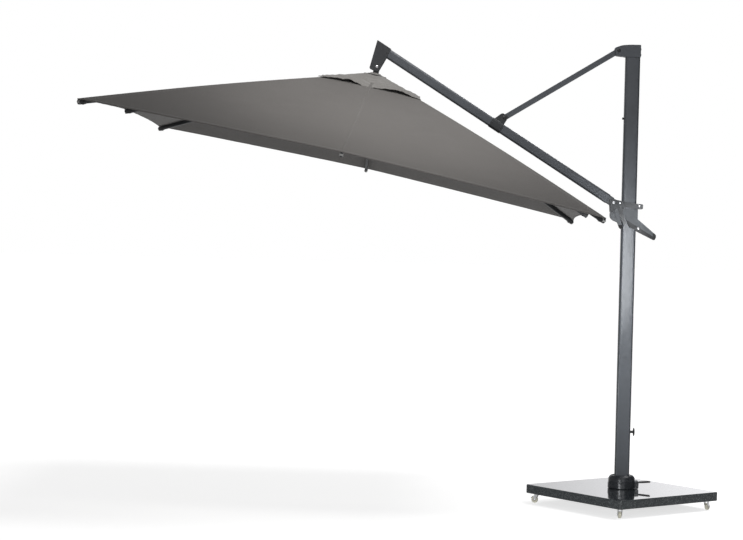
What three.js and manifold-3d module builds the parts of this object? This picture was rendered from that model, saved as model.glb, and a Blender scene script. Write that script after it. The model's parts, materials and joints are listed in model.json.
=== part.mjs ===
// Cantilever parasol with a square canopy, a sliding carriage on the mast and a granite base on castors.
// Millimetres, +Z up. The origin is on the mast's swivel axis at floor level, and the canopy reaches
// along -X. Side views are drawn in the XZ plane; the boom and the canopy each have a frame of their own.
import * as THREE from "three";
import { mergeVertices } from "three/addons/utils/BufferGeometryUtils.js";
import Module from "manifold-3d";

const wasm = await Module();
wasm.setup();

// ---------------------------------------------------------------- driving dimensions
const GAP = 0.3; // between pieces that touch
const RUN = 0.5; // between pieces that turn or slide on each other

const CASTOR = {
  inset: 52,
  wheelR: 20,
  wheelWide: 18,
  facets: 24,
  axleR: 3,
  trail: 13,
  plate: 44,
  plateThick: 2.7,
  discR: 17,
  discThick: 3.5,
  cheek: 2.5,
  over: 20, // from the wheel's top to the slab
  turns: [95, 160, 25, 50], // how far each fork is swivelled, from the corner nearest -Y clockwise
};
const SLAB = { side: 850, thick: 55, bottom: 2 * CASTOR.wheelR + CASTOR.over, turn: 39.7, edge: 3 };
const SLAB_TOP = SLAB.bottom + SLAB.thick;

const MAST = { wide: 91, deep: 61, corner: 12, wall: 3, bottom: SLAB_TOP + 7, top: 2812 };
const FACE = MAST.wide / 2; // the mast's front and rear faces are this far from its axis
const fore = (d) => -FACE - d; // a distance ahead of the front face, towards the canopy
const rear = (d) => FACE + d; // a distance behind the rear face
const RECESS = { wide: MAST.wide - 27, deep: 1.2, slope: 2 };
const COLLAR = { wall: 7.2, low: SLAB_TOP + 5, high: SLAB_TOP + 78 };
const collarR = Math.hypot(FACE - MAST.corner, MAST.deep / 2 - MAST.corner) + MAST.corner + COLLAR.wall;
const KNOB = { height: 470, stemR: 8, headR: 25, headThick: 9, reach: rear(27.5), inside: 9 };
const BUMPER = { height: 2430, radius: 7, reach: 10 };
const CAP = { deep: MAST.deep + 3, tall: 77, plug: 42, plugGap: 0.6 };
const BOLT = { shankR: 6, headR: 11, headThick: 4 };
const THROUGH = 60; // half the length of a cutter for a bolt hole

const boreR = collarR + 1;
const FOOT = {
  outerR: boreR + 27.5,
  coverR: boreR + 24.5,
  shoulderR: boreR + 10.5,
  height: 82,
  seam: 41, // height of the seam on the axis, above the slab
  seamSlope: 3.7,
  floor: 3.5,
};
const PEDAL = {
  pivotX: FOOT.outerR + 11,
  pivotUp: 38,
  rootR: 7,
  rootWide: 40,
  reach: 82,
  wide: 56,
  thick: 6,
  rise: 4.7,
};

const CANOPY = {
  half: 1500,
  apex: 600,
  drop: 0.38, // fall per mm towards the middle of a side
  fold: 0.0227, // extra fall per mm sideways, out to a corner
  tilt: 11.46,
  neckUp: 37, // hub pivot above the cloth's apex
  cloth: 1.2,
  ventHalf: 215,
  flapHalf: 320,
  flapUp: 14, // vent flap's own apex above the cloth's
  flapFall: 0.385,
  neckHole: 30,
};
const STRUT_TOP = { x: fore(43.5), z: MAST.top + 40 }; // pivot on the mast cap
const BOOM_FOOT = { x: fore(52.5), z: 1904 }; // pivot on the carriage
const level = (d) => BOOM_FOOT.z + d; // a height on the carriage, from the boom's pivot
const REACH = CANOPY.half + 203; // along the boom to the hub, so that the canopy clears the mast
const BOOM = { slope: 32.2, tall: 60, wide: 45, corner: 12, wall: 2.5, start: 40, end: REACH + 62 };
const STRUT_FOOT = { along: 860, above: BOOM.tall / 2 + 38.5 }; // pivot on the boom clevis
const HUB_PIVOT = { along: REACH, above: -BOOM.tall / 2 - 78 }; // pivot in the boom-end bracket
const STRUT = { tall: 34, wide: 25, wall: 2 };
const CLEVIS = {
  from: STRUT_FOOT.along - 24,
  to: STRUT_FOOT.along + 57,
  skin: 3,
  cheek: 6,
  top: BOOM.tall / 2 + 56,
};
const BRACKET = { skin: 4 };
const CARRIAGE = {
  plateY: MAST.deep / 2 + 2.5,
  plate: 4,
  bolt: 4,
  rollerR: 7.5,
  gripY: MAST.deep / 2 + 0.7,
  sleeveX: FACE + 7,
  sleeveWall: 2.5,
};
const REAR = { x: rear(16.5), z: level(-20) };
const LOWER = { x: rear(14.5), z: level(-160) };
const FRONT = { x: fore(12.5), z: level(-3) };
const TRIGGER = { x: fore(36.5), z: level(-51), pinR: 5, barX: fore(13), barZ: level(-134), cheek: 3 };

const RIB = {
  wide: 15,
  tall: 28,
  wall: 2,
  pivotR: 56,
  under: 23, // from the cloth's apex down to the rib's top at its pivot
  tipInset: 15,
  clear: 1, // between a rib and the cloth
  pinR: 3,
};
const ribTop = RIB.tall / 2;
const ribPin = RIB.wide + 7;
const pivotUp = CANOPY.apex - RIB.under - ribTop;
const CROWN = { radius: 72, low: pivotUp - ribTop - 4, high: CANOPY.apex - 15, neck: 30, eyeR: 20 };
const RUNNER = { half: 12, outerR: 68, tubeR: 24, boreR: 16.5, pinR: 2, floorR: 36.5 };
const POLE = { radius: 15, wall: 2, low: CANOPY.apex - 395 };
const STRETCHER = {
  cornerArm: 550, // from each corner rib's pivot to its joint
  strap: 2.5,
  side: 1,
  half: 9,
  back: ribTop + 4.5,
  web: 3,
  endRoom: 4 * ribTop + 9, // the channel stops this far short of the rib
  footRoom: 50,
  play: 4.2, // the middle ones' free movement on the runner's pins
};

const RAD = Math.PI / 180;
const cos = (d) => Math.cos(d * RAD);
const sin = (d) => Math.sin(d * RAD);
const tan = (d) => Math.tan(d * RAD);

// ---------------------------------------------------------------- materials
function paint(color, roughness, metalness = 0) {
  return new THREE.MeshStandardMaterial({ color, roughness, metalness });
}
const M = {
  frame: paint(0x45484c, 0.45, 0.5),
  dark: paint(0x2b2d30, 0.5, 0.4),
  black: paint(0x141517, 0.4),
  granite: paint(0x3a4144, 0.12),
  chrome: paint(0xc9cdd0, 0.15, 1),
  steel: paint(0x8c9094, 0.3, 1),
  nylon: paint(0xe9e4cf, 0.5),
  grey: paint(0x7d8286, 0.5, 0.3),
  cloth: paint(0x74706c, 0.95),
};

// ---------------------------------------------------------------- solids
function solid(geometry) {
  const g = geometry.clone();
  g.deleteAttribute("normal");
  g.deleteAttribute("uv");
  const merged = mergeVertices(g, 1e-3);
  const build = (index) =>
    new wasm.Manifold(
      new wasm.Mesh({
        numProp: 3,
        vertProperties: merged.attributes.position.array,
        triVerts: index,
      }),
    );
  const index = new Uint32Array(merged.index.array);
  const made = build(index);
  return made.volume() < 0 ? build(index.reverse()) : made;
}

function geometryOf(made) {
  const m = made.getMesh();
  const g = new THREE.BufferGeometry();
  const xyz = new Float32Array(m.numVert * 3);
  for (let i = 0; i < m.numVert; i++)
    xyz.set(m.vertProperties.subarray(i * m.numProp, i * m.numProp + 3), i * 3);
  g.setAttribute("position", new THREE.BufferAttribute(xyz, 3));
  g.setIndex(new THREE.BufferAttribute(m.triVerts, 1));
  g.computeVertexNormals();
  return g;
}

const root = new THREE.Group();

function add(name, made, material, parent = root) {
  const mesh = new THREE.Mesh(geometryOf(made), material);
  mesh.name = name;
  parent.add(mesh);
  return mesh;
}

// A group whose local x and z lie along the two given directions.
function frame(origin, x, z, parent = root) {
  const g = new THREE.Group();
  const xAxis = new THREE.Vector3(...x).normalize();
  const zAxis = new THREE.Vector3(...z).normalize();
  const yAxis = new THREE.Vector3().crossVectors(zAxis, xAxis);
  g.position.set(...origin);
  g.quaternion.setFromRotationMatrix(new THREE.Matrix4().makeBasis(xAxis, yAxis, zAxis));
  parent.add(g);
  return g;
}

function box(low, high) {
  const size = high.map((h, i) => h - low[i]);
  const g = new THREE.BoxGeometry(...size);
  g.translate(...low.map((l, i) => l + size[i] / 2));
  return solid(g);
}

// A cylinder along x, y or z, from one coordinate to the other on that axis.
function rod(axis, radius, from, to, centre, sides = 16) {
  const g = new THREE.CylinderGeometry(radius, radius, to - from, sides);
  if (axis === "x") g.rotateZ(-Math.PI / 2);
  if (axis === "z") g.rotateX(Math.PI / 2);
  const at = { x: [1, 0, 0], y: [0, 1, 0], z: [0, 0, 1] }[axis];
  const mid = (from + to) / 2;
  g.translate(...centre.map((c, i) => c + at[i] * mid));
  return solid(g);
}

// A profile of [radius, height] pairs turned about z.
function turned(profile, sides = 36) {
  const points = profile.map(([r, h]) => new THREE.Vector2(r, h));
  const g = new THREE.LatheGeometry(points, sides);
  g.rotateX(Math.PI / 2);
  return solid(g);
}

// A side view, drawn as a shape in x and z, made as deep as given and centred on y.
function sideView(shape, deep, y = 0) {
  const g = new THREE.ExtrudeGeometry(shape, { depth: deep, bevelEnabled: false, curveSegments: 4 });
  g.rotateX(Math.PI / 2);
  g.translate(0, y + deep / 2, 0);
  return solid(g);
}

function outline(points) {
  return new THREE.Shape(points.map(([x, y]) => new THREE.Vector2(x, y)));
}

// A closed outline whose corners are rounded, each by the radius given as its third number.
function rounded(points) {
  const shape = new THREE.Shape();
  points.forEach(([x, y, r = 0], i) => {
    const here = new THREE.Vector2(x, y);
    const before = new THREE.Vector2(...points.at(i - 1));
    const after = new THREE.Vector2(...points[(i + 1) % points.length]);
    const a = here.clone().add(before.sub(here).setLength(r));
    const b = here.clone().add(after.sub(here).setLength(r));
    if (i) shape.lineTo(a.x, a.y);
    else shape.moveTo(a.x, a.y);
    if (r) shape.quadraticCurveTo(x, y, b.x, b.y);
  });
  shape.closePath();
  return shape;
}

function roundedRect(wide, tall, radius) {
  const x = wide / 2;
  const y = tall / 2;
  const corners = [
    [x, y, 0],
    [-x, y, 90],
    [-x, -y, 180],
    [x, -y, 270],
  ];
  const shape = new THREE.Shape();
  for (const [cx, cy, start] of corners) {
    const centre = [cx - Math.sign(cx) * radius, cy - Math.sign(cy) * radius];
    shape.absarc(...centre, radius, start * RAD, (start + 90) * RAD);
  }
  shape.closePath();
  return shape;
}

// A bar of rounded section along z, hollow where a wall is given.
function section(wide, tall, radius, from, to, wall = 0) {
  const shape = roundedRect(wide, tall, radius);
  if (wall) shape.holes.push(roundedRect(wide - 2 * wall, tall - 2 * wall, Math.max(radius - wall, 1)));
  const g = new THREE.ExtrudeGeometry(shape, { depth: to - from, bevelEnabled: false, curveSegments: 3 });
  g.translate(0, 0, from);
  return g;
}

// The same bar laid along x, with its wide side across y.
function barAlongX(wide, tall, radius, from, to, wall = 0) {
  const g = section(wide, tall, radius, from, to, wall);
  g.rotateX(Math.PI / 2);
  g.rotateZ(Math.PI / 2);
  return solid(g);
}

// A bolt across y through [x, z], with a head at each end.
function crossBolt(x, z, half, shankR = BOLT.shankR, headR = BOLT.headR) {
  const out = half + GAP;
  const head = (y0, y1) => rod("y", headR, y0, y1, [x, 0, z], 12);
  return rod("y", shankR, -out, out, [x, 0, z], 16)
    .add(head(out, out + BOLT.headThick))
    .add(head(-out - BOLT.headThick, -out));
}

// ---------------------------------------------------------------- base
function makeBase() {
  const base = new THREE.Group();
  base.rotation.z = SLAB.turn * RAD;
  root.add(base);
  const flat = SLAB.side - 2 * SLAB.edge;
  const g = new THREE.ExtrudeGeometry(roundedRect(flat, flat, 2), {
    depth: SLAB.thick - 2 * SLAB.edge,
    bevelSize: SLAB.edge,
    bevelThickness: SLAB.edge,
    bevelSegments: 1,
    curveSegments: 1,
  });
  g.translate(0, 0, SLAB.bottom + SLAB.edge);
  add("granite_slab", solid(g), M.granite, base);
  const at = SLAB.side / 2 - CASTOR.inset;
  const corners = [
    [-at, -at],
    [-at, at],
    [at, at],
    [at, -at],
  ];
  corners.forEach(([x, y], i) => makeCastor(base, x, y, i + 1, CASTOR.turns[i] - SLAB.turn));
}

function castorFork() {
  const plateLow = SLAB.bottom - GAP - CASTOR.plateThick;
  const discTop = plateLow - RUN;
  const discLow = discTop - CASTOR.discThick;
  const inner = CASTOR.wheelWide / 2 + 1.5;
  const wide = inner + CASTOR.cheek;
  const disc = rod("z", CASTOR.discR, discLow, discTop, [0, 0, 0], 24);
  const side = rounded([
    [-12, discTop],
    [12, discTop],
    [CASTOR.trail + 8, CASTOR.wheelR - 1, 6],
    [CASTOR.trail - 6, CASTOR.wheelR - 7, 6],
  ]);
  const middle = inner + CASTOR.cheek / 2;
  const cheeks = [middle, -middle].map((y) => sideView(side, CASTOR.cheek, y));
  const axle = rod("y", CASTOR.axleR, -wide, wide, [CASTOR.trail, 0, CASTOR.wheelR], 12);
  return disc.add(cheeks[0]).add(cheeks[1]).add(axle);
}

function castorWheel() {
  const w = CASTOR.wheelWide / 2;
  const r = CASTOR.wheelR / Math.cos(Math.PI / CASTOR.facets);
  const bore = CASTOR.axleR + RUN;
  const g = new THREE.LatheGeometry(
    [
      [bore, -w],
      [r - 3, -w],
      [r, -w + 4],
      [r, w - 4],
      [r - 3, w],
      [bore, w],
      [bore, -w],
    ].map(([x, y]) => new THREE.Vector2(x, y)),
    CASTOR.facets,
  );
  g.rotateY(Math.PI / CASTOR.facets); // a flat facet, not an edge, faces down
  g.translate(CASTOR.trail, 0, CASTOR.wheelR);
  return solid(g);
}

function makeCastor(base, x, y, number, turn) {
  const holder = new THREE.Group();
  holder.position.set(x, y, 0);
  base.add(holder);
  const top = SLAB.bottom - GAP;
  const plate = section(CASTOR.plate, CASTOR.plate, 5, top - CASTOR.plateThick, top);
  add(`castor_plate_${number}`, solid(plate), M.steel, holder);
  const swivel = new THREE.Group();
  swivel.rotation.z = turn * RAD;
  holder.add(swivel);
  add(`castor_fork_${number}`, castorFork(), M.chrome, swivel);
  add(`castor_wheel_${number}`, castorWheel(), M.nylon, swivel);
}

// ---------------------------------------------------------------- swivel foot
function seamCut(offset) {
  const g = new THREE.BoxGeometry(400, 400, 200);
  g.translate(0, 0, 100 + offset);
  g.rotateY(-FOOT.seamSlope * RAD);
  g.translate(0, 0, SLAB_TOP + FOOT.seam);
  return solid(g);
}

function makeFoot() {
  const low = SLAB_TOP + GAP;
  const high = SLAB_TOP + FOOT.height;
  const middle = SLAB_TOP + FOOT.seam;
  const drum = turned([
    [0, low],
    [FOOT.outerR - 4, low],
    [FOOT.outerR, low + 5],
    [FOOT.outerR, middle + 2],
    [FOOT.outerR - 3, middle + 12],
    [boreR, middle + 12],
    [boreR, low + FOOT.floor],
    [0, low + FOOT.floor],
  ]);
  const r = PEDAL.rootR;
  const up = SLAB_TOP + PEDAL.pivotUp;
  const lugFrom = FOOT.outerR - 16;
  const lugWide = PEDAL.rootWide + 18;
  const lug = sideView(
    rounded([
      [lugFrom, low + 2],
      [PEDAL.pivotX + 7, low + 2, 6],
      [PEDAL.pivotX + 8, up + 9, 7],
      [lugFrom, up + 11],
    ]),
    lugWide,
  );
  const slotHalf = PEDAL.rootWide / 2 + RUN;
  const slot = box([PEDAL.pivotX - r - 2, -slotHalf, up - r - 12], [PEDAL.pivotX + 30, slotHalf, up + 30]);
  const socket = drum.subtract(seamCut(0)).add(lug).subtract(slot);
  add("foot_socket", socket, M.black);
  const ring = turned([
    [boreR, middle - 20],
    [FOOT.coverR, middle - 20],
    [FOOT.coverR, middle + 18],
    [FOOT.coverR - 4, middle + 30],
    [FOOT.shoulderR + 3, high - 3],
    [FOOT.shoulderR, high],
    [boreR + 4, high],
    [boreR, high - 4],
    [boreR, middle - 20],
  ]);
  const below = box([-200, -200, low - 60], [200, 200, middle + 100]).subtract(seamCut(GAP + RUN));
  const notch = box([lugFrom - RUN, -lugWide / 2 - RUN, low], [200, lugWide / 2 + RUN, up + 11 + RUN]);
  add("foot_cover", ring.subtract(below).subtract(notch), M.black);
  makePedal(up);
}

function makePedal(up) {
  const half = PEDAL.rootWide / 2;
  const outer = PEDAL.wide / 2;
  const blade = new THREE.ExtrudeGeometry(
    rounded([
      [0, -half],
      [12, -half],
      [24, -outer, 4],
      [PEDAL.reach, -outer, 12],
      [PEDAL.reach, outer, 12],
      [24, outer, 4],
      [12, half],
      [0, half],
    ]),
    { depth: PEDAL.thick, bevelEnabled: false, curveSegments: 4 },
  );
  blade.translate(0, 0, -PEDAL.thick / 2);
  blade.rotateY(-PEDAL.rise * RAD);
  blade.translate(PEDAL.pivotX, 0, up);
  const barrel = rod("y", PEDAL.rootR, -half, half, [PEDAL.pivotX, 0, up]);
  add("foot_pedal", barrel.add(solid(blade)), M.black);
}

// ---------------------------------------------------------------- mast
function makeMast() {
  const half = MAST.deep / 2;
  let mast = solid(section(MAST.wide, MAST.deep, MAST.corner, MAST.bottom, MAST.top, MAST.wall));
  for (const side of [1, -1]) {
    const w = RECESS.wide / 2;
    const y = (d) => side * (half - RECESS.deep + d);
    const groove = outline([
      [-w + RECESS.slope, y(0)],
      [w - RECESS.slope, y(0)],
      [w + RECESS.slope, y(2 * RECESS.deep)],
      [-w - RECESS.slope, y(2 * RECESS.deep)],
    ]);
    const g = new THREE.ExtrudeGeometry(groove, { depth: MAST.top, bevelEnabled: false });
    g.translate(0, 0, COLLAR.high + 6);
    mast = mast.subtract(solid(g));
  }
  const hole = rod("x", KNOB.stemR + RUN, FACE - MAST.wall - 5, FACE + 5, [0, 0, KNOB.height]);
  add("mast", mast.subtract(hole), M.frame);
  const ring = rod("z", collarR, COLLAR.low, COLLAR.high, [0, 0, 0], 36);
  const room = { wide: MAST.wide + 2 * GAP, deep: MAST.deep + 2 * GAP };
  const inside = section(room.wide, room.deep, MAST.corner, MAST.bottom - GAP, COLLAR.high + 1);
  add("swivel_collar", ring.subtract(solid(inside)), M.black);
  const bumper = rod("x", BUMPER.radius, fore(BUMPER.reach), fore(GAP), [0, 0, BUMPER.height], 16);
  add("mast_bumper", bumper, M.black);
  const knob = turned(
    [
      [0, rear(-KNOB.inside)],
      [KNOB.stemR, rear(-KNOB.inside)],
      [KNOB.stemR, KNOB.reach - KNOB.headThick],
      [KNOB.headR - 2, KNOB.reach - KNOB.headThick],
      [KNOB.headR, KNOB.reach - KNOB.headThick / 2],
      [KNOB.headR - 3, KNOB.reach - 1],
      [KNOB.headR - 10, KNOB.reach],
      [0, KNOB.reach],
    ],
    24,
  );
  add("mast_knob", knob.rotate([0, 90, 0]).translate([0, 0, KNOB.height]), M.black);
}

function makeCap() {
  const rim = MAST.top + GAP;
  const roof = rim + CAP.tall;
  const body = rounded([
    [rear(2.5), rim],
    [rear(2.5), roof, 6],
    [fore(-25.5), roof, 20],
    [fore(24.5), roof - 4, 20],
    [STRUT_TOP.x - 25, roof - 21, 6],
    [STRUT_TOP.x - 19, rim + 8, 9],
    [fore(18.5), rim + 3, 8],
    [fore(2), rim],
  ]);
  const slotHalf = STRUT.wide / 2 + 1;
  const room = STRUT.tall / 2 + 2;
  const slot = box(
    [STRUT_TOP.x - THROUGH, -slotHalf, rim - 20],
    [STRUT_TOP.x + room, slotHalf, STRUT_TOP.z + room],
  );
  const wide = MAST.wide - 2 * (MAST.wall + CAP.plugGap);
  const deep = MAST.deep - 2 * (MAST.wall + CAP.plugGap);
  const plug = solid(section(wide, deep, MAST.corner - MAST.wall, rim - CAP.plug, rim + 5));
  const eye = rod("y", BOLT.shankR + RUN, -THROUGH, THROUGH, [STRUT_TOP.x, 0, STRUT_TOP.z]);
  const cap = sideView(body, CAP.deep).subtract(slot).subtract(eye).add(plug);
  add("mast_cap", cap, M.frame);
  add("strut_top_bolt", crossBolt(STRUT_TOP.x, STRUT_TOP.z, CAP.deep / 2), M.black);
}

// ---------------------------------------------------------------- boom
const boomDir = [-cos(BOOM.slope), 0, sin(BOOM.slope)];
const boomUp = [sin(BOOM.slope), 0, cos(BOOM.slope)];
const boomFrame = frame([BOOM_FOOT.x, 0, BOOM_FOOT.z], boomDir, boomUp);

// A point given along and above the boom, in the side view of the whole parasol.
function onBoom({ along, above }) {
  return {
    x: BOOM_FOOT.x + boomDir[0] * along + boomUp[0] * above,
    z: BOOM_FOOT.z + boomDir[2] * along + boomUp[2] * above,
  };
}

function boomFitting() {
  const between = CARRIAGE.plateY - 1;
  const inner = { wide: BOOM.wide - 2 * (BOOM.wall + RUN), tall: BOOM.tall - 2 * (BOOM.wall + RUN) };
  const plug = barAlongX(inner.wide, inner.tall, BOOM.corner - BOOM.wall, 10, BOOM.start + 60);
  const shoulder = barAlongX(BOOM.wide - 4, BOOM.tall - 14, 8, 4, BOOM.start - GAP);
  const boss = rod("y", 23, -between, between, [0, 0, 0], 24);
  const eye = rod("y", BOLT.shankR + RUN, -THROUGH, THROUGH, [0, 0, 0]);
  return boss.add(shoulder).add(plug).subtract(eye);
}

function boomClevis() {
  const { from, to, skin, cheek, top } = CLEVIS;
  const gap = BOOM.tall / 2 + GAP;
  const outer = { wide: BOOM.wide + 2 * (GAP + skin), tall: BOOM.tall + 2 * (GAP + skin) };
  const collar = barAlongX(outer.wide, outer.tall, BOOM.corner + skin, from, to);
  const bore = barAlongX(BOOM.wide + 2 * GAP, BOOM.tall + 2 * GAP, BOOM.corner, from - 5, to + 5);
  const fin = rounded([
    [from + 3, gap],
    [from + 5, top, 14],
    [STRUT_FOOT.along + 28, top, 14],
    [to - 8, gap],
  ]);
  const finHalf = STRUT.wide / 2 + 1 + cheek;
  const slotHalf = STRUT.wide / 2 + 1;
  const slot = box([from - 20, -slotHalf, gap + 4], [to + 20, slotHalf, top + 40]);
  const pivot = [STRUT_FOOT.along, 0, STRUT_FOOT.above];
  const eye = rod("y", BOLT.shankR + RUN, -THROUGH, THROUGH, pivot);
  return collar.add(sideView(fin, 2 * finHalf)).subtract(bore).subtract(slot).subtract(eye);
}

function boomEndBracket() {
  const gap = BOOM.tall / 2 + GAP;
  const inner = BOOM.wide / 2 + GAP;
  const side = rounded([
    [HUB_PIVOT.along - 13, gap + BRACKET.skin, 3],
    [BOOM.end + 28, gap + BRACKET.skin, 4],
    [HUB_PIVOT.along + 35, HUB_PIVOT.above - 34, 8],
    [HUB_PIVOT.along - 24, HUB_PIVOT.above - 22, 8],
    [HUB_PIVOT.along - 19, -gap, 3],
  ]);
  const shell = sideView(side, 2 * (inner + BRACKET.skin));
  const hollow = box(
    [HUB_PIVOT.along - 100, -inner, 3 * HUB_PIVOT.above],
    [BOOM.end + 100, inner, gap],
  );
  const pivot = [HUB_PIVOT.along, 0, HUB_PIVOT.above];
  const eye = rod("y", BOLT.shankR + RUN, -THROUGH, THROUGH, pivot);
  return shell.subtract(hollow).subtract(eye);
}

function makeBoom() {
  const tube = barAlongX(BOOM.wide, BOOM.tall, BOOM.corner, BOOM.start, BOOM.end, BOOM.wall);
  add("boom", tube, M.frame, boomFrame);
  add("boom_foot_fitting", boomFitting(), M.grey, boomFrame);
  add("boom_clevis", boomClevis(), M.dark, boomFrame);
  add("boom_end_bracket", boomEndBracket(), M.dark, boomFrame);
  const clevisHalf = STRUT.wide / 2 + 1 + CLEVIS.cheek;
  add("strut_foot_bolt", crossBolt(STRUT_FOOT.along, STRUT_FOOT.above, clevisHalf), M.black, boomFrame);
  const bracketHalf = BOOM.wide / 2 + GAP + BRACKET.skin;
  add("hub_pivot_bolt", crossBolt(HUB_PIVOT.along, HUB_PIVOT.above, bracketHalf), M.steel, boomFrame);
}

function makeStrut() {
  const foot = onBoom(STRUT_FOOT);
  const run = [foot.x - STRUT_TOP.x, 0, foot.z - STRUT_TOP.z];
  const length = Math.hypot(run[0], run[2]);
  const strut = frame([STRUT_TOP.x, 0, STRUT_TOP.z], run, [run[2], 0, -run[0]]);
  const half = STRUT.tall / 2;
  const ends = [0, length].map((x) => rod("y", half, -STRUT.wide / 2, STRUT.wide / 2, [x, 0, 0], 24));
  const bar = box([0, -STRUT.wide / 2, -half], [length, STRUT.wide / 2, half]);
  const inner = { y: STRUT.wide / 2 - STRUT.wall, z: half - STRUT.wall };
  const hollow = box([half + 8, -inner.y, -inner.z], [length - half - 8, inner.y, inner.z]);
  const drain = rod("z", 3, -half - 5, 0, [length - half - 30, 0, 0], 12);
  let made = bar.add(ends[0]).add(ends[1]).subtract(hollow).subtract(drain);
  for (const x of [0, length])
    made = made.subtract(rod("y", BOLT.shankR + RUN, -THROUGH, THROUGH, [x, 0, 0]));
  add("strut", made, M.frame, strut);
}

// ---------------------------------------------------------------- carriage
function sidePlate() {
  const { x } = BOOM_FOOT;
  return rounded([
    [x - 30, level(18), 14],
    [x + 4, level(20), 4],
    [fore(-5.5), level(9), 4],
    [rear(-5.5), level(-4)],
    [rear(40.5), level(-7), 8],
    [rear(39.5), level(-39), 8],
    [rear(-5.5), level(-36)],
    [fore(-23.5), level(-28), 6],
    [fore(-7.5), level(-34), 8],
    [fore(-5.5), level(-58), 4],
    [fore(-34.5), level(-134), 3],
    [fore(-11.5), level(-137), 6],
    [fore(20.5), level(-66), 4],
    [fore(37.5), level(-45), 6],
    [fore(55.5), level(-59), 3],
    [fore(71.5), level(-59), 3],
    [fore(73.5), level(-24), 6],
  ]);
}

function handleShape() {
  return rounded([
    [fore(-23.5), level(-82), 3],
    [rear(-5.5), level(-89), 10],
    [rear(126.5), level(-197), 6],
    [rear(126.5), level(-214), 5],
    [rear(116.5), level(-231), 6],
    [rear(1.5), level(-174), 4],
    [rear(-41.5), level(-152), 6],
    [rear(-50.5), level(-142), 3],
  ]);
}

// The handle is moulded in one with the sleeve that runs round the mast.
function makeHandle() {
  const { plateY, plate, gripY, sleeveX, sleeveWall } = CARRIAGE;
  const outer = plateY + plate;
  const shell = sideView(handleShape(), 2 * outer);
  const backX = sleeveX + sleeveWall;
  const channel = box([fore(14.5), -gripY, level(-304)], [backX, gripY, level(-4)]);
  const hollow = outline([
    [backX - 1, level(-304)],
    [rear(58.5), level(-304)],
    [rear(58.5), level(-148)],
    [backX - 1, level(-108)],
  ]);
  const taper = [1, -1].map((side) => {
    const cut = new THREE.Shape();
    cut.moveTo(rear(14.5), side * THROUGH);
    cut.lineTo(rear(14.5), side * (outer + 1));
    cut.quadraticCurveTo(rear(74.5), side * outer, rear(154.5), side * 15);
    cut.lineTo(rear(154.5), side * THROUGH);
    const g = new THREE.ExtrudeGeometry(cut, { depth: 400, bevelEnabled: false, curveSegments: 4 });
    g.translate(0, 0, level(-404));
    return solid(g);
  });
  const wallY = plateY - GAP;
  const sleeve = box([-backX, -wallY, level(-104)], [backX, wallY, level(-38)]);
  const passage = box([-sleeveX, -gripY, level(-204)], [sleeveX, gripY, level(-4)]);
  const eye = rod("y", CARRIAGE.bolt + RUN, -THROUGH, THROUGH, [LOWER.x, 0, LOWER.z]);
  const cut = channel.add(sideView(hollow, 2 * gripY)).add(taper[0]).add(taper[1]).add(eye);
  add("slider_handle", shell.subtract(cut).add(sleeve.subtract(passage)), M.grey);
}

function guideRoller({ x, z }, half) {
  const barrel = rod("y", CARRIAGE.rollerR, -half, half, [x, 0, z], 24);
  return barrel.subtract(rod("y", CARRIAGE.bolt + RUN, -THROUGH, THROUGH, [x, 0, z], 16));
}

function makeCarriage() {
  const { plateY, plate } = CARRIAGE;
  const pins = [
    [BOOM_FOOT, BOLT.shankR],
    [FRONT, CARRIAGE.bolt],
    [REAR, CARRIAGE.bolt],
    [TRIGGER, TRIGGER.pinR],
  ];
  for (const [name, side] of [
    ["carriage_plate_front", -1],
    ["carriage_plate_back", 1],
  ]) {
    let made = sideView(sidePlate(), plate, side * (plateY + plate / 2));
    for (const [{ x, z }, r] of pins)
      made = made.subtract(rod("y", r + RUN, -THROUGH, THROUGH, [x, 0, z]));
    add(name, made, M.dark);
  }
  const outer = plateY + plate;
  add("boom_foot_bolt", crossBolt(BOOM_FOOT.x, BOOM_FOOT.z, outer, BOLT.shankR, 9), M.steel);
  add("front_cross_bolt", crossBolt(FRONT.x, FRONT.z, outer, CARRIAGE.bolt, 8), M.steel);
  add("rear_roller_bolt", crossBolt(REAR.x, REAR.z, outer, CARRIAGE.bolt, 8), M.steel);
  add("rear_roller", guideRoller(REAR, plateY - 1), M.black);
  makeHandle();
  add("handle_bolt", crossBolt(LOWER.x, LOWER.z, outer, CARRIAGE.bolt, 8), M.steel);
  add("lower_roller", guideRoller(LOWER, CARRIAGE.gripY - 1), M.black);
  makeLatch();
}

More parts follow.
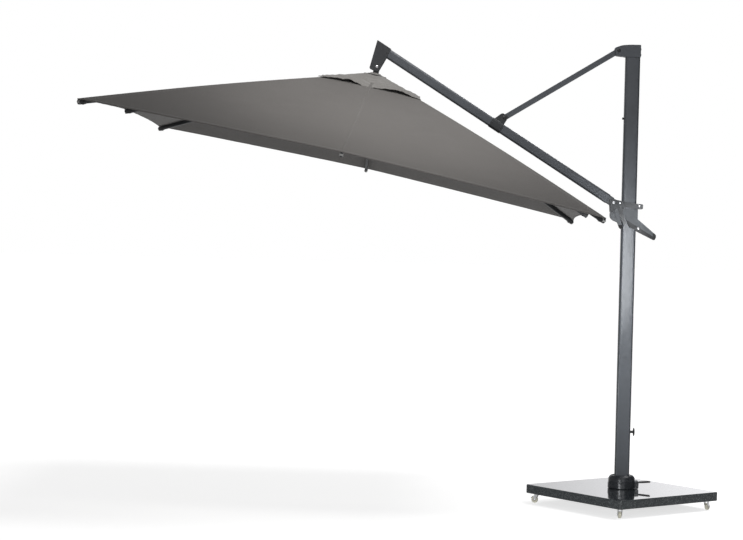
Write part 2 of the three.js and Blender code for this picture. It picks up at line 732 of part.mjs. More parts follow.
// The trigger has a cheek on each side of the carriage, joined by its pivot pin and a finger bar.
function makeLatch() {
  const { x, z, pinR, barX, barZ, cheek } = TRIGGER;
  const half = CARRIAGE.plateY - GAP;
  const body = rounded([
    [fore(70.5), level(-62), 2],
    [fore(71.5), level(-92), 12],
    [fore(54.5), level(-111), 10],
    [fore(22.5), level(-124), 4],
    [fore(10.5), level(-104), 3],
    [fore(10.5), level(-58), 4],
    [fore(46.5), level(-38), 6],
  ]);
  const inside = half - 4;
  const hollow = box([fore(66.5), -inside, level(-204)], [fore(4.5), inside, level(-62)]);
  const eye = rod("y", pinR + RUN, -THROUGH, THROUGH, [x, 0, z]);
  const core = hollow.intersect(sideView(body, 200).translate([4, 0, -4]));
  const housing = sideView(body, 2 * half).subtract(core);
  add("latch_housing", housing.subtract(eye), M.grey);
  const outer = CARRIAGE.plateY + CARRIAGE.plate + RUN;
  const side = rounded([
    [x - 12, z - 3, 4],
    [x - 4, z + 10, 5],
    [x + 12, z + 6, 5],
    [barX + 8, barZ + 18, 4],
    [barX + 22, barZ - 20, 4],
    [barX + 13, barZ - 31, 4],
    [barX + 4, barZ - 24, 4],
    [barX - 7, barZ + 4, 5],
  ]);
  const width = outer + cheek;
  const between = box([fore(154.5), -outer, level(-304)], [rear(54.5), outer, level(96)]);
  const cheeks = sideView(side, 2 * width).subtract(between);
  const pin = rod("y", pinR, -width, width, [x, 0, z]);
  const bar = rod("y", pinR, -width, width, [barX, 0, barZ]);
  add("release_trigger", cheeks.add(pin).add(bar), M.grey);
}

// ---------------------------------------------------------------- canopy
const hubUp = CANOPY.apex + CANOPY.neckUp;
const hub = onBoom(HUB_PIVOT);
const canopyOut = [-cos(CANOPY.tilt), 0, sin(CANOPY.tilt)];
const canopyUp = [sin(CANOPY.tilt), 0, cos(CANOPY.tilt)];
const canopyFrame = frame(
  [hub.x - canopyUp[0] * hubUp, 0, hub.z - canopyUp[2] * hubUp],
  canopyOut,
  canopyUp,
);

// Height of the cloth's underside above the rim plane.
function clothHeight(x, y) {
  const far = Math.max(Math.abs(x), Math.abs(y));
  const near = Math.min(Math.abs(x), Math.abs(y));
  return CANOPY.apex - CANOPY.drop * far - CANOPY.fold * near;
}

function flapHeight(x, y) {
  const far = Math.max(Math.abs(x), Math.abs(y));
  return CANOPY.apex + CANOPY.flapUp - CANOPY.flapFall * far;
}

// A thin square sheet with a hole in the middle, made solid by a second layer above the first.
function sheet(height, thick, holeAt, half, perSide) {
  const round = 4 * perSide;
  const xyz = [];
  for (const layer of [0, thick])
    for (const hole of [true, false])
      for (let i = 0; i < round; i++) {
        const t = (2 * (i % perSide)) / perSide - 1;
        const side = Math.floor(i / perSide);
        const [x, y] = side % 2 ? [-t, 1] : [1, t];
        const s = (side < 2 ? 1 : -1) * (hole ? holeAt(x, y) : half);
        xyz.push(x * s, y * s, height(x * s, y * s) + layer);
      }
  const at = (layer, edge, i) => (2 * layer + edge) * round + (i % round);
  const index = [];
  const quad = (a, b, c, d) => index.push(a, b, c, a, c, d);
  for (let i = 0; i < round; i++) {
    quad(at(1, 0, i), at(1, 1, i), at(1, 1, i + 1), at(1, 0, i + 1));
    quad(at(0, 0, i), at(0, 0, i + 1), at(0, 1, i + 1), at(0, 1, i));
    quad(at(0, 0, i), at(1, 0, i), at(1, 0, i + 1), at(0, 0, i + 1));
    quad(at(0, 1, i), at(0, 1, i + 1), at(1, 1, i + 1), at(1, 1, i));
  }
  const g = new THREE.BufferGeometry();
  g.setAttribute("position", new THREE.Float32BufferAttribute(xyz, 3));
  g.setIndex(index);
  return solid(g);
}

function makeCloth() {
  const vent = () => CANOPY.ventHalf;
  add("canopy", sheet(clothHeight, CANOPY.cloth, vent, CANOPY.half, 2), M.cloth, canopyFrame);
  const neck = (x, y) => CANOPY.neckHole / Math.hypot(x, y);
  add("vent_flap", sheet(flapHeight, CANOPY.cloth, neck, CANOPY.flapHalf, 4), M.cloth, canopyFrame);
}

// The eight ribs: their azimuths, and how each slopes from the crown to its tip.
const steepest = 22; // degrees, no rib is steeper
function ribAt(i) {
  const corner = i % 2 === 1;
  const reach = CANOPY.half * (corner ? Math.SQRT2 : 1) - RIB.tipInset;
  const side = corner ? reach / Math.SQRT2 : reach;
  const edge = corner ? RIB.wide / 2 / Math.SQRT2 : 0; // a corner rib's edges lie beside the ridge
  const cloth = clothHeight(side + edge, corner ? side - edge : 0);
  const tipUp = cloth - ribTop / cos(steepest) - RIB.clear;
  const slope = Math.atan2(pivotUp - tipUp, reach - RIB.pivotR) / RAD;
  const length = Math.hypot(pivotUp - tipUp, reach - RIB.pivotR);
  return { corner, azimuth: 45 * i, slope, length };
}

// A stretcher is as long as its rib's arm, so its foot stays on a line parallel to the axis. The
// middle ribs are steeper, so their arms are longer and reach a lower ring of pins on the runner.
const cornerSlope = ribAt(1).slope;
const runnerTravel = 2 * STRETCHER.cornerArm * (1 - sin(cornerSlope));
function armOf(rib) {
  return rib.corner ? STRETCHER.cornerArm : runnerTravel / 2 / (1 - sin(rib.slope));
}
function footUp(rib) {
  return pivotUp - 2 * armOf(rib) * sin(rib.slope);
}

function ribBar(rib) {
  const half = RIB.wide / 2;
  const bar = box([0, -half, -ribTop], [rib.length, half, ribTop]);
  const end = rod("y", ribTop, -half, half, [0, 0, 0]);
  const wall = RIB.wall;
  const hollow = box([20, -half + wall, -ribTop + wall], [rib.length + 10, half - wall, ribTop - wall]);
  const pin = rod("y", RIB.pinR, -ribPin / 2, ribPin / 2, [0, 0, 0], 8);
  const hole = rod("y", RIB.pinR + RUN, -RIB.wide, RIB.wide, [armOf(rib), 0, 0], 8);
  return bar.add(end).subtract(hollow).subtract(hole).add(pin);
}

// A channel that the rib folds into, with a fork at each end. Its pin turns in the rib's hole.
function stretcherBar(rib) {
  const { strap, side, half, back, web, endRoom, footRoom, play } = STRETCHER;
  const length = armOf(rib);
  const inner = RIB.wide / 2 + side;
  const outer = inner + strap;
  const shape = rounded([
    [-half, half, 6],
    [footRoom - 15, half],
    [footRoom, back],
    [length - endRoom, back],
    [length - endRoom + 15, half],
    [length + half, half, 6],
    [length + half, -half, 6],
    [-half, -half, 6],
  ]);
  const hollow = box([-50, -inner, -50], [length + 50, inner, back - web]);
  const pin = rod("y", RIB.pinR, -outer + 0.5, outer - 0.5, [length, 0, 0], 8);
  const holeR = RUNNER.pinR + (rib.corner ? RUN : play);
  const hole = rod("y", holeR, -outer - 1, outer + 1, [0, 0, 0], 10);
  return sideView(shape, 2 * outer).subtract(hollow).add(pin).subtract(hole);
}

function makeRibs() {
  for (let i = 0; i < 8; i++) {
    const rib = ribAt(i);
    const turn = new THREE.Group();
    turn.rotation.z = rib.azimuth * RAD;
    canopyFrame.add(turn);
    const down = [cos(rib.slope), 0, -sin(rib.slope)];
    const up = [sin(rib.slope), 0, cos(rib.slope)];
    const ribFrame = frame([RIB.pivotR, 0, pivotUp], down, up, turn);
    add(`rib_${i + 1}`, ribBar(rib), M.black, ribFrame);
    const out = [cos(rib.slope), 0, sin(rib.slope)];
    const back = [-sin(rib.slope), 0, cos(rib.slope)];
    const linkFrame = frame([RIB.pivotR, 0, footUp(rib)], out, back, turn);
    add(`stretcher_${i + 1}`, stretcherBar(rib), M.dark, linkFrame);
  }
}

// Eight radial slots, each as wide as twice the half, from a radius outwards.
function slotted(disc, half, from, low, high) {
  let made = disc;
  for (let i = 0; i < 8; i++)
    made = made.subtract(box([from, -half, low], [200, half, high]).rotate([0, 0, 45 * i]));
  return made;
}

function makeCrown() {
  const { radius, low, high, neck, eyeR } = CROWN;
  const disc = rod("z", radius, low, high, [0, 0, 0], 24);
  const slotTop = pivotUp + ribTop + 1.5;
  let crown = slotted(disc, RIB.wide / 2 + RUN, RIB.pivotR - ribTop - 2, low - 5, slotTop);
  for (let i = 0; i < 8; i++) {
    const half = ribPin / 2 + RUN;
    const hole = rod("y", RIB.pinR + RUN, -half, half, [RIB.pivotR, 0, pivotUp], 8);
    crown = crown.subtract(hole.rotate([0, 0, 45 * i]));
  }
  const post = box([-18, -neck / 2, high - 3], [18, neck / 2, hubUp]);
  const eye = rod("y", eyeR, -BOOM.wide / 2 + 1, BOOM.wide / 2 - 1, [0, 0, hubUp], 24);
  const bore = rod("y", BOLT.shankR + RUN, -THROUGH, THROUGH, [0, 0, hubUp]);
  const spindle = rod("z", POLE.radius, POLE.low, low + 5, [0, 0, 0], 24);
  const hollow = rod("z", POLE.radius - POLE.wall, POLE.low - 5, low - 20, [0, 0, 0], 24);
  const made = crown.add(post).add(eye).subtract(bore).add(spindle.subtract(hollow));
  add("crown", made, M.black, canopyFrame);
}

// Two slotted discs on a tube. Stub pins in four slots of each carry the stretchers' feet.
function makeRunner() {
  const { half, outerR, tubeR, boreR, pinR, floorR } = RUNNER;
  const levels = [footUp(ribAt(0)), footUp(ribAt(1))];
  const slotHalf = RIB.wide / 2 + STRETCHER.side + STRETCHER.strap + RUN;
  let made = rod("z", tubeR, levels[0] - half, levels[1] + half, [0, 0, 0], 24);
  levels.forEach((height, odd) => {
    const disc = rod("z", outerR, height - half, height + half, [0, 0, 0], 24);
    made = made.add(slotted(disc, slotHalf, floorR, height - half - 5, height + half + 5));
    for (let i = odd; i < 8; i += 2)
      for (const side of [1, -1]) {
        const pin = rod("y", pinR, slotHalf - RUN - STRETCHER.strap, slotHalf + 1, [0, 0, 0], 8);
        const placed = pin.scale([1, side, 1]).translate([RIB.pivotR, 0, height]);
        made = made.add(placed.rotate([0, 0, 45 * i]));
      }
  });
  const bore = rod("z", boreR, levels[0] - half - 5, levels[1] + half + 5, [0, 0, 0], 24);
  add("runner", made.subtract(bore), M.black, canopyFrame);
}

makeBase();
makeFoot();
makeMast();
makeCap();
makeBoom();
makeStrut();
makeCarriage();
makeCrown();
makeRunner();
makeRibs();
makeCloth();

export default root;
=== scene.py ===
"""The looks of a square cantilever parasol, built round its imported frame.

Everything is in metres in the frame's own axes: +Z up, the mast on the origin, the canopy towards -X.
"""
import json
import math

import bmesh
import bpy
from mathutils import Matrix, Vector, noise


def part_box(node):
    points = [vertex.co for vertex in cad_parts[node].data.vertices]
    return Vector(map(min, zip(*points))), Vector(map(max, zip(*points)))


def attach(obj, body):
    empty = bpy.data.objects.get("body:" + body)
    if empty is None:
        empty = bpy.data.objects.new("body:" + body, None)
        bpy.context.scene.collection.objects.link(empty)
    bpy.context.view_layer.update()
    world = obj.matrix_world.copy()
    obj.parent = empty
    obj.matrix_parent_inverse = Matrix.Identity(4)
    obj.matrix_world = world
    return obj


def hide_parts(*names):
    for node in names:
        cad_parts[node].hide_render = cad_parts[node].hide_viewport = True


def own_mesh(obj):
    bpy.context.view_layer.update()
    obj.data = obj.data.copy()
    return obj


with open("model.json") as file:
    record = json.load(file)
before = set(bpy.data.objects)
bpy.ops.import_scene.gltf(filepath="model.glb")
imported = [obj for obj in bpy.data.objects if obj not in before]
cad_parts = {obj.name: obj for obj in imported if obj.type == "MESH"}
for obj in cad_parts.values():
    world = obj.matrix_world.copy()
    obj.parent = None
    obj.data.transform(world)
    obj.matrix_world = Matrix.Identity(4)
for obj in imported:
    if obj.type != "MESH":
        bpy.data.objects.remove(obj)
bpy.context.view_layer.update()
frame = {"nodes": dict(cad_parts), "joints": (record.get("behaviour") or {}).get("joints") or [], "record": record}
NODES = frame["nodes"]
BODY_OF = {node: body for body, nodes in frame["record"]["behaviour"]["bodies"].items() for node in nodes}
JOINTS = {joint["name"]: joint for joint in frame["joints"]}
SLOT_OF = {part["node"]: part["material_slot"] for part in frame["record"]["subparts"]}
MM = 0.001
SMOOTH_ANGLE = math.radians(35)
SLAB_TURN = 39.7
BOOM_SLOPE = 32.2
CAMERA_PLACE = (-1.075, -12.347, 1.724)
CAMERA_YAW, CAMERA_PITCH, CAMERA_ROLL = -0.0426, -0.0226, -0.0237
CAMERA_LENS = 95.12
FLOOR_SIZE = 160
FLOOR_GLOW, FLOOR_GLOW_SEEN = 0.12, 0.7
SUN_DIRECTION = (-0.45, 0.05, -1)
# Along X from -1 to 1, as shares: how bright the studio is in reflections.
STUDIO_TONES = (
    (0.0, 0.3), (0.26, 0.3), (0.3, 1.6), (0.38, 0.5), (0.5, 0.56), (0.6, 1.6), (0.68, 0.03), (1.0, 0.02),
)


# ---------------------------------------------------------------- camera, stage and light
def make_camera():
    place = Vector(CAMERA_PLACE)
    yaw, pitch, roll = CAMERA_YAW, CAMERA_PITCH, CAMERA_ROLL
    ahead = Vector((math.sin(yaw) * math.cos(pitch), math.cos(yaw) * math.cos(pitch), math.sin(pitch)))
    level = Vector((math.cos(yaw), -math.sin(yaw), 0))
    above = level.cross(ahead)
    right = math.cos(roll) * level - math.sin(roll) * above
    up = math.sin(roll) * level + math.cos(roll) * above
    data = bpy.data.cameras.new("camera")
    data.sensor_width = 36
    data.lens = CAMERA_LENS
    data.clip_end = 200
    camera = bpy.data.objects.new("camera", data)
    camera.matrix_world = Matrix.Translation(place) @ Matrix((right, up, -ahead)).transposed().to_4x4()
    bpy.context.scene.collection.objects.link(camera)
    bpy.context.scene.camera = camera


def make_world():
    """White to the camera. As a light it is a dim studio, with dark flags at the sides in reflections."""
    world = bpy.data.worlds.new("studio")
    bpy.context.scene.world = world
    world.use_nodes = True
    tree = world.node_tree
    tree.nodes.clear()
    new, link = tree.nodes.new, tree.links.new
    out, path = new("ShaderNodeOutputWorld"), new("ShaderNodeLightPath")
    place, parts = new("ShaderNodeTexCoord"), new("ShaderNodeSeparateXYZ")
    link(place.outputs["Generated"], parts.inputs[0])
    flags = new("ShaderNodeValToRGB")
    while len(flags.color_ramp.elements) < len(STUDIO_TONES):
        flags.color_ramp.elements.new(0.5)
    for element, (spot, tone) in zip(flags.color_ramp.elements, STUDIO_TONES):
        element.position = spot
        element.color = (tone, tone, tone * 1.02, 1)
    sideways = new("ShaderNodeMapRange")
    sideways.inputs["From Min"].default_value = -1
    link(parts.outputs["X"], sideways.inputs[0])
    link(sideways.outputs[0], flags.inputs[0])
    grounds = []
    for color, strength in (((1, 1, 1, 1), 1.0), ((1, 1, 1, 1), 0.2), (None, 0.95)):
        ground = new("ShaderNodeBackground")
        ground.inputs["Strength"].default_value = strength
        if color:
            ground.inputs["Color"].default_value = color
        grounds.append(ground)
    seen, soft, mirrored = grounds
    link(flags.outputs[0], mirrored.inputs["Color"])
    glossy, direct = new("ShaderNodeMixShader"), new("ShaderNodeMixShader")
    link(path.outputs["Is Glossy Ray"], glossy.inputs[0])
    link(soft.outputs[0], glossy.inputs[1])
    link(mirrored.outputs[0], glossy.inputs[2])
    link(path.outputs["Is Camera Ray"], direct.inputs[0])
    link(glossy.outputs[0], direct.inputs[1])
    link(seen.outputs[0], direct.inputs[2])
    link(direct.outputs[0], out.inputs[0])


def area_light(name, place, target, size, power, color=(1, 1, 1)):
    data = bpy.data.lights.new(name, "AREA")
    data.shape = "DISK"
    data.size = size
    data.energy = power
    data.color = color
    light = bpy.data.objects.new(name, data)
    light.location = place
    light.rotation_euler = (Vector(target) - Vector(place)).to_track_quat("-Z", "Y").to_euler()
    bpy.context.scene.collection.objects.link(light)


def spot_light(name, place, target, cone, radius, power, color):
    """A spot whose cone, in degrees, fades from its middle to its rim."""
    data = bpy.data.lights.new(name, "SPOT")
    data.spot_size = math.radians(cone)
    data.spot_blend = 1
    data.shadow_soft_size = radius
    data.energy = power
    data.color = color
    light = bpy.data.objects.new(name, data)
    light.location = place
    light.rotation_euler = (Vector(target) - Vector(place)).to_track_quat("-Z", "Y").to_euler()
    bpy.context.scene.collection.objects.link(light)


def make_stage():
    bpy.ops.mesh.primitive_plane_add(size=FLOOR_SIZE)
    floor = bpy.context.object
    floor.name = "floor"
    material = bpy.data.materials.new("floor")
    material.use_nodes = True
    shader = material.node_tree.nodes["Principled BSDF"]
    shader.inputs["Base Color"].default_value = (0.8, 0.8, 0.8, 1)
    shader.inputs["Roughness"].default_value = 0.9
    shader.inputs["Specular IOR Level"].default_value = 0
    shader.inputs["Emission Color"].default_value = (1, 1, 1, 1)
    path = material.node_tree.nodes.new("ShaderNodeLightPath")
    glow = material.node_tree.nodes.new("ShaderNodeMapRange")
    glow.inputs["To Min"].default_value = FLOOR_GLOW
    glow.inputs["To Max"].default_value = FLOOR_GLOW_SEEN
    material.node_tree.links.new(path.outputs["Is Camera Ray"], glow.inputs[0])
    material.node_tree.links.new(glow.outputs[0], shader.inputs["Emission Strength"])
    floor.data.materials.append(material)
    spot_light("key", (-1.3, -2.3, 4.7), (-1.35, -0.45, 2.5), 72, 0.5, 335, (1, 0.985, 0.965))
    spot_light("mast_light", (0.6, -3.4, 1.45), (0, 0, 1.15), 38, 0.5, 215, (0.94, 0.97, 1))
    area_light("base_light", (-1.2, -3.2, 0.5), (0, 0, 0.12), 0.7, 22, (0.96, 0.98, 1))
    area_light("rim", (0.6, 4.5, 4.6), (-0.8, 0, 2.2), 1.5, 60)
    sun = bpy.data.lights.new("shadow_maker", "SUN")
    sun.energy = 0.78
    sun.angle = math.radians(24)
    lamp = bpy.data.objects.new("shadow_maker", sun)
    lamp.rotation_euler = Vector(SUN_DIRECTION).to_track_quat("-Z", "Y").to_euler()
    bpy.context.scene.collection.objects.link(lamp)
    bpy.context.scene.view_settings.view_transform = "Standard"


# ---------------------------------------------------------------- materials
class Shader:
    """A Principled material and short ways to add nodes to it."""

    def __init__(self, name, color, roughness, metallic=0.0, **sockets):
        self.material = bpy.data.materials.new(name)
        self.material.use_nodes = True
        self.tree = self.material.node_tree
        self.main = self.tree.nodes["Principled BSDF"]
        self.main.inputs["Base Color"].default_value = (*color, 1)
        self.main.inputs["Roughness"].default_value = roughness
        self.main.inputs["Metallic"].default_value = metallic
        for socket, value in sockets.items():
            self.main.inputs[socket.replace("_", " ")].default_value = value
        self.place = self.node("ShaderNodeTexCoord").outputs["Object"]

    def node(self, kind, **inputs):
        made = self.tree.nodes.new(kind)
        for socket, value in inputs.items():
            self.put(made.inputs[socket.replace("_", " ")], value)
        return made

    def put(self, socket, value):
        if isinstance(value, bpy.types.NodeSocket):
            self.tree.links.new(value, socket)
        else:
            socket.default_value = value

    def noise(self, scale, detail=2.0, roughness=0.5, place=None):
        made = self.node("ShaderNodeTexNoise", Scale=scale, Detail=detail, Roughness=roughness)
        self.put(made.inputs["Vector"], place or self.place)
        return made.outputs["Fac"]

    def cells(self, scale, place=None):
        made = self.node("ShaderNodeTexVoronoi", Scale=scale)
        self.put(made.inputs["Vector"], place or self.place)
        return made

    def span(self, value, low, high, to_low, to_high):
        made = self.node("ShaderNodeMapRange")
        for socket, number in zip(made.inputs[1:5], (low, high, to_low, to_high)):
            socket.default_value = number
        self.put(made.inputs[0], value)
        return made.outputs[0]

    def math(self, operation, a, b=0.0):
        made = self.node("ShaderNodeMath")
        made.operation = operation
        self.put(made.inputs[0], a)
        self.put(made.inputs[1], b)
        return made.outputs[0]

    def ramp(self, value, *stops):
        made = self.node("ShaderNodeValToRGB")
        elements = made.color_ramp.elements
        while len(elements) < len(stops):
            elements.new(0.5)
        for element, (place, color) in zip(elements, stops):
            element.position = place
            element.color = (*color, 1)
        self.put(made.inputs[0], value)
        return made.outputs[0]

    def color(self, value):
        self.put(self.main.inputs["Base Color"], value)

    def roughness(self, value):
        self.put(self.main.inputs["Roughness"], value)

    def bump(self, height, strength, distance):
        made = self.node("ShaderNodeBump", Strength=strength, Distance=distance, Height=height)
        self.put(self.main.inputs["Normal"], made.outputs["Normal"])


def scaled(color, factor):
    return tuple(c * factor for c in color)


def powder_coat(name, color, roughness):
    """Sprayed and baked paint: a fine orange peel, with soft wear and dust in its gloss."""
    made = Shader(name, color, roughness, 0.25, Coat_Weight=0.35, Coat_Roughness=0.14)
    peel = made.noise(900, 3)
    patches = made.noise(7, 4, 0.6)
    made.color(made.ramp(patches, (0.3, scaled(color, 0.88)), (0.7, scaled(color, 1.12))))
    made.roughness(made.span(made.noise(40, 4), 0.3, 0.7, roughness - 0.06, roughness + 0.08))
    made.bump(peel, 0.25, 0.0004)
    return made.material


def plastic(name, color, roughness, grain=1400):
    """Moulded nylon with a spark-eroded grain."""
    made = Shader(name, color, roughness)
    made.color(made.ramp(made.noise(12, 3), (0.3, scaled(color, 0.9)), (0.7, scaled(color, 1.15))))
    made.roughness(made.span(made.noise(60, 3), 0.3, 0.7, roughness - 0.05, roughness + 0.07))
    made.bump(made.noise(grain, 2), 0.3, 0.0003)
    return made.material


def bare_metal(name, color, roughness):
    made = Shader(name, color, roughness, 1.0)
    smears = made.noise(30, 5, 0.7)
    made.roughness(made.span(smears, 0.3, 0.75, roughness * 0.6, roughness * 1.6))
    made.bump(made.noise(500, 2), 0.08, 0.0002)
    return made.material


def granite(name, roughness, coat):
    """Dark crystals with grey and pale flecks."""
    made = Shader(name, (0.026, 0.031, 0.035), roughness, 0.0, Coat_Weight=coat, Coat_Roughness=0.015)
    grains = made.cells(380)
    shade = made.node("ShaderNodeSeparateColor", Color=grains.outputs["Color"]).outputs[0]
    clouds = made.math("MULTIPLY", made.noise(90, 4, 0.7), 0.55)
    cloudy = made.math("ADD", clouds, made.math("MULTIPLY", shade, 0.5))
    stops = ((0.0, (0.005, 0.007, 0.008)), (0.42, (0.017, 0.022, 0.025)), (0.62, (0.042, 0.051, 0.056)))
    made.color(made.ramp(cloudy, *stops, (0.75, (0.13, 0.145, 0.15)), (0.9, (0.3, 0.31, 0.31))))
    return made.material


def cloth(name, color, weave=1100.0):
    """Plain-woven polyester: crossing threads from the cloth's own coordinates, slubs and soft fading."""
    made = Shader(name, color, 0.92, 0.0, Sheen_Weight=0.25, Sheen_Roughness=0.5)
    made.main.inputs["Specular IOR Level"].default_value = 0.2
    flat = made.node("ShaderNodeUVMap").outputs["UV"]
    parts = made.node("ShaderNodeSeparateXYZ", Vector=flat).outputs
    threads = [made.math("SINE", made.math("MULTIPLY", part, weave * math.pi)) for part in parts[:2]]
    warp, weft = (made.math("ABSOLUTE", thread) for thread in threads)
    over = made.math("GREATER_THAN", made.math("MULTIPLY", *threads), 0.0)
    warp_on_top = made.math("MULTIPLY", warp, over)
    weft_on_top = made.math("MULTIPLY", weft, made.math("SUBTRACT", 1, over))
    pattern = made.math("ADD", warp_on_top, weft_on_top)
    slubs = made.math("MULTIPLY", made.noise(170, 3, 0.6, flat), 0.5)
    fading = made.noise(1.7, 4, 0.55)
    uneven = made.math("ADD", slubs, made.math("MULTIPLY", fading, 0.35))
    tone = made.math("ADD", made.math("MULTIPLY", pattern, 0.22), uneven)
    made.color(made.ramp(tone, (0.2, scaled(color, 0.82)), (0.8, scaled(color, 1.16))))
    made.bump(made.math("ADD", pattern, made.math("MULTIPLY", slubs, 0.6)), 0.35, 0.0004)
    return made.material


FRAME_COLOR = (0.062, 0.069, 0.08)
MATERIAL = {
    "frame": powder_coat("anthracite", FRAME_COLOR, 0.42),
    "dark_frame": powder_coat("dark_coat", (0.018, 0.02, 0.023), 0.42),
    "black_plastic": plastic("black_nylon", (0.016, 0.017, 0.019), 0.42),
    "granite": granite("granite_honed", 0.3, 0.0),
    "chrome": bare_metal("chrome", (0.78, 0.79, 0.8), 0.09),
    "steel": bare_metal("zinc_steel", (0.5, 0.5, 0.51), 0.3),
    "nylon": plastic("cream_nylon", (0.88, 0.85, 0.7), 0.35, 900),
    "grey_plastic": plastic("grey_nylon", (0.105, 0.114, 0.124), 0.45),
    "fabric": cloth("canopy_cloth", (0.112, 0.106, 0.101)),
}
POLISHED = granite("granite_polished", 0.06, 1.0)
# The flap cloth is the canopy cloth made lighter: painted light, for the brighter light on the flap near the apex.
LIGHTENED_FLAP_CLOTH = cloth("flap_cloth_painted_light", (0.19, 0.183, 0.175))
# The foot's nylon is the black nylon made lighter and bluer: its dark colour is real, its extra lightness is
# painted light for the highlights on the foot.
LIGHTENED_FOOT_NYLON = plastic("foot_nylon_painted_light", (0.028, 0.031, 0.036), 0.28)
TAPE = cloth("edge_tape", (0.4, 0.4, 0.39), 700)
THREAD = plastic("thread", (0.2, 0.195, 0.185), 0.6)
RUBBER = plastic("rubber", (0.01, 0.01, 0.011), 0.7)


# ---------------------------------------------------------------- pieces
def finish(mesh_object, body, material, replaces=()):
    mesh_object.data.materials.clear()
    mesh_object.data.materials.append(material)
    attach(mesh_object, body)
    if replaces:
        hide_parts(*replaces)
    return mesh_object


def linked(name, mesh):
    made = bpy.data.objects.new(name, mesh)
    bpy.context.scene.collection.objects.link(made)
    return made


def smooth(mesh, angle=SMOOTH_ANGLE):
    mesh.shade_smooth()
    mesh.set_sharp_from_angle(angle=angle)


def from_points(name, points, faces, angle=SMOOTH_ANGLE):
    mesh = bpy.data.meshes.new(name)
    mesh.from_pydata([tuple(p) for p in points], [], faces)
    mesh.validate()
    tidy = bmesh.new()
    tidy.from_mesh(mesh)
    bmesh.ops.recalc_face_normals(tidy, faces=tidy.faces)
    tidy.to_mesh(mesh)
    tidy.free()
    smooth(mesh, angle)
    return linked(name, mesh)


def softened(node, width, material=None, segments=2):
    """A CAD solid with its faces joined up and its edges rounded."""
    mesh = NODES[node].data.copy()
    tidy = bmesh.new()
    tidy.from_mesh(mesh)
    bmesh.ops.remove_doubles(tidy, verts=tidy.verts, dist=0.02 * MM)
    bmesh.ops.dissolve_limit(tidy, angle_limit=math.radians(1), verts=tidy.verts, edges=tidy.edges)
    tidy.to_mesh(mesh)
    tidy.free()
    smooth(mesh)
    made = linked(node + "_piece", mesh)
    bevel = made.modifiers.new("edges", "BEVEL")
    bevel.width = width
    bevel.segments = segments
    bevel.limit_method = "ANGLE"
    bevel.angle_limit = SMOOTH_ANGLE
    bevel.harden_normals = True
    bevel.use_clamp_overlap = True
    made.modifiers.new("flat_faces", "WEIGHTED_NORMAL").keep_sharp = True
    slot = SLOT_OF[node]
    return finish(made, BODY_OF[node], material or MATERIAL[slot], [node])


def turned(name, profile, place, axis, sides=40):
    """A profile of (radius, height) pairs turned about an axis through a point."""
    turn = Vector((0, 0, 1)).rotation_difference(Vector(axis)).to_matrix()
    points, faces = [], []
    for radius, height in profile:
        for k in range(sides):
            angle = 2 * math.pi * k / sides
            spot = Vector((radius * math.cos(angle), radius * math.sin(angle), height))
            points.append(turn @ spot + Vector(place))
    for row in range(len(profile) - 1):
        for k in range(sides):
            a, b = row * sides + k, row * sides + (k + 1) % sides
            faces.append((a, b, b + sides, a + sides))
    faces.append(tuple(range(sides))[::-1])
    faces.append(tuple(range(len(points) - sides, len(points))))
    return from_points(name, points, faces)


def socket_screw(name, place, axis, radius, tall):
    """A domed screw head with a six-sided socket, standing on a surface."""
    axis = Vector(axis).normalized()
    turn = Vector((0, 0, 1)).rotation_difference(axis).to_matrix()
    sides, hexagon = 24, 0.5 * radius
    rings = (
        (radius, -0.2 * tall), (radius, 0.45 * tall), (0.93 * radius, 0.78 * tall), (0.75 * radius, tall),
    )
    points, faces = [], []

    def ring(height, radius_at):
        for k in range(sides):
            angle = 2 * math.pi * k / sides
            r = radius_at(angle)
            points.append(turn @ Vector((r * math.cos(angle), r * math.sin(angle), height)) + Vector(place))

    def hexed(angle):
        return hexagon * math.cos(math.pi / 6) / math.cos((angle % (math.pi / 3)) - math.pi / 6)

    for r, height in rings:
        ring(height, lambda _, r=r: r)
    ring(tall, hexed)
    ring(0.3 * tall, hexed)
    for row in range(len(rings) + 1):
        for k in range(sides):
            a, b = row * sides + k, row * sides + (k + 1) % sides
            faces.append((a, b, b + sides, a + sides))
    faces.append(tuple(range(sides))[::-1])
    faces.append(tuple(range(len(points) - sides, len(points))))
    return from_points(name, points, faces)


def join(name, objects):
    """Several mesh objects made into one."""
    gathered = bmesh.new()
    for each in objects:
        gathered.from_mesh(each.data)
        bpy.data.objects.remove(each)
    mesh = bpy.data.meshes.new(name)
    gathered.to_mesh(mesh)
    gathered.free()
    smooth(mesh)
    return linked(name, mesh)


def cross_bolt(node, head_radius, material="steel"):
    """A bolt across Y with a socket head at each end, over the CAD one."""
    low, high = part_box(node)
    x, z = (low.x + high.x) / 2, (low.z + high.z) / 2
    tall = 4 * MM
    parts = [
        socket_screw("head", (x, side * (high.y - tall), z), (0, side, 0), head_radius, tall)
        for side in (-1, 1)
    ]
    reach = high.y - tall
    parts.append(turned("shank", [(6 * MM, -reach), (6 * MM, reach)], (x, 0, z), (0, 1, 0), 20))
    finish(join(node + "_piece", parts), BODY_OF[node], MATERIAL[material], [node])


def screws(name, body, places, axis, radius=3.2 * MM, tall=2 * MM, material="steel"):
    """A set of small screw heads on one body, as one piece."""
    parts = [socket_screw("screw", place, axis, radius, tall) for place in places]
    finish(join(name, parts), body, MATERIAL[material])


# ---------------------------------------------------------------- base
def make_base():
    make_slab()
    for node in ("foot_socket", "foot_cover", "swivel_collar"):
        softened(node, 1.2 * MM, LIGHTENED_FOOT_NYLON, 3)
    softened("foot_pedal", 1.2 * MM, RUBBER, 3)
    for k in range(1, 5):
        softened(f"castor_plate_{k}", 0.5 * MM)
        softened(f"castor_fork_{k}", 0.7 * MM)
        softened(f"castor_wheel_{k}", 0.6 * MM)
        castor_details(k)
    pedal_ribs()
    foot_screws()


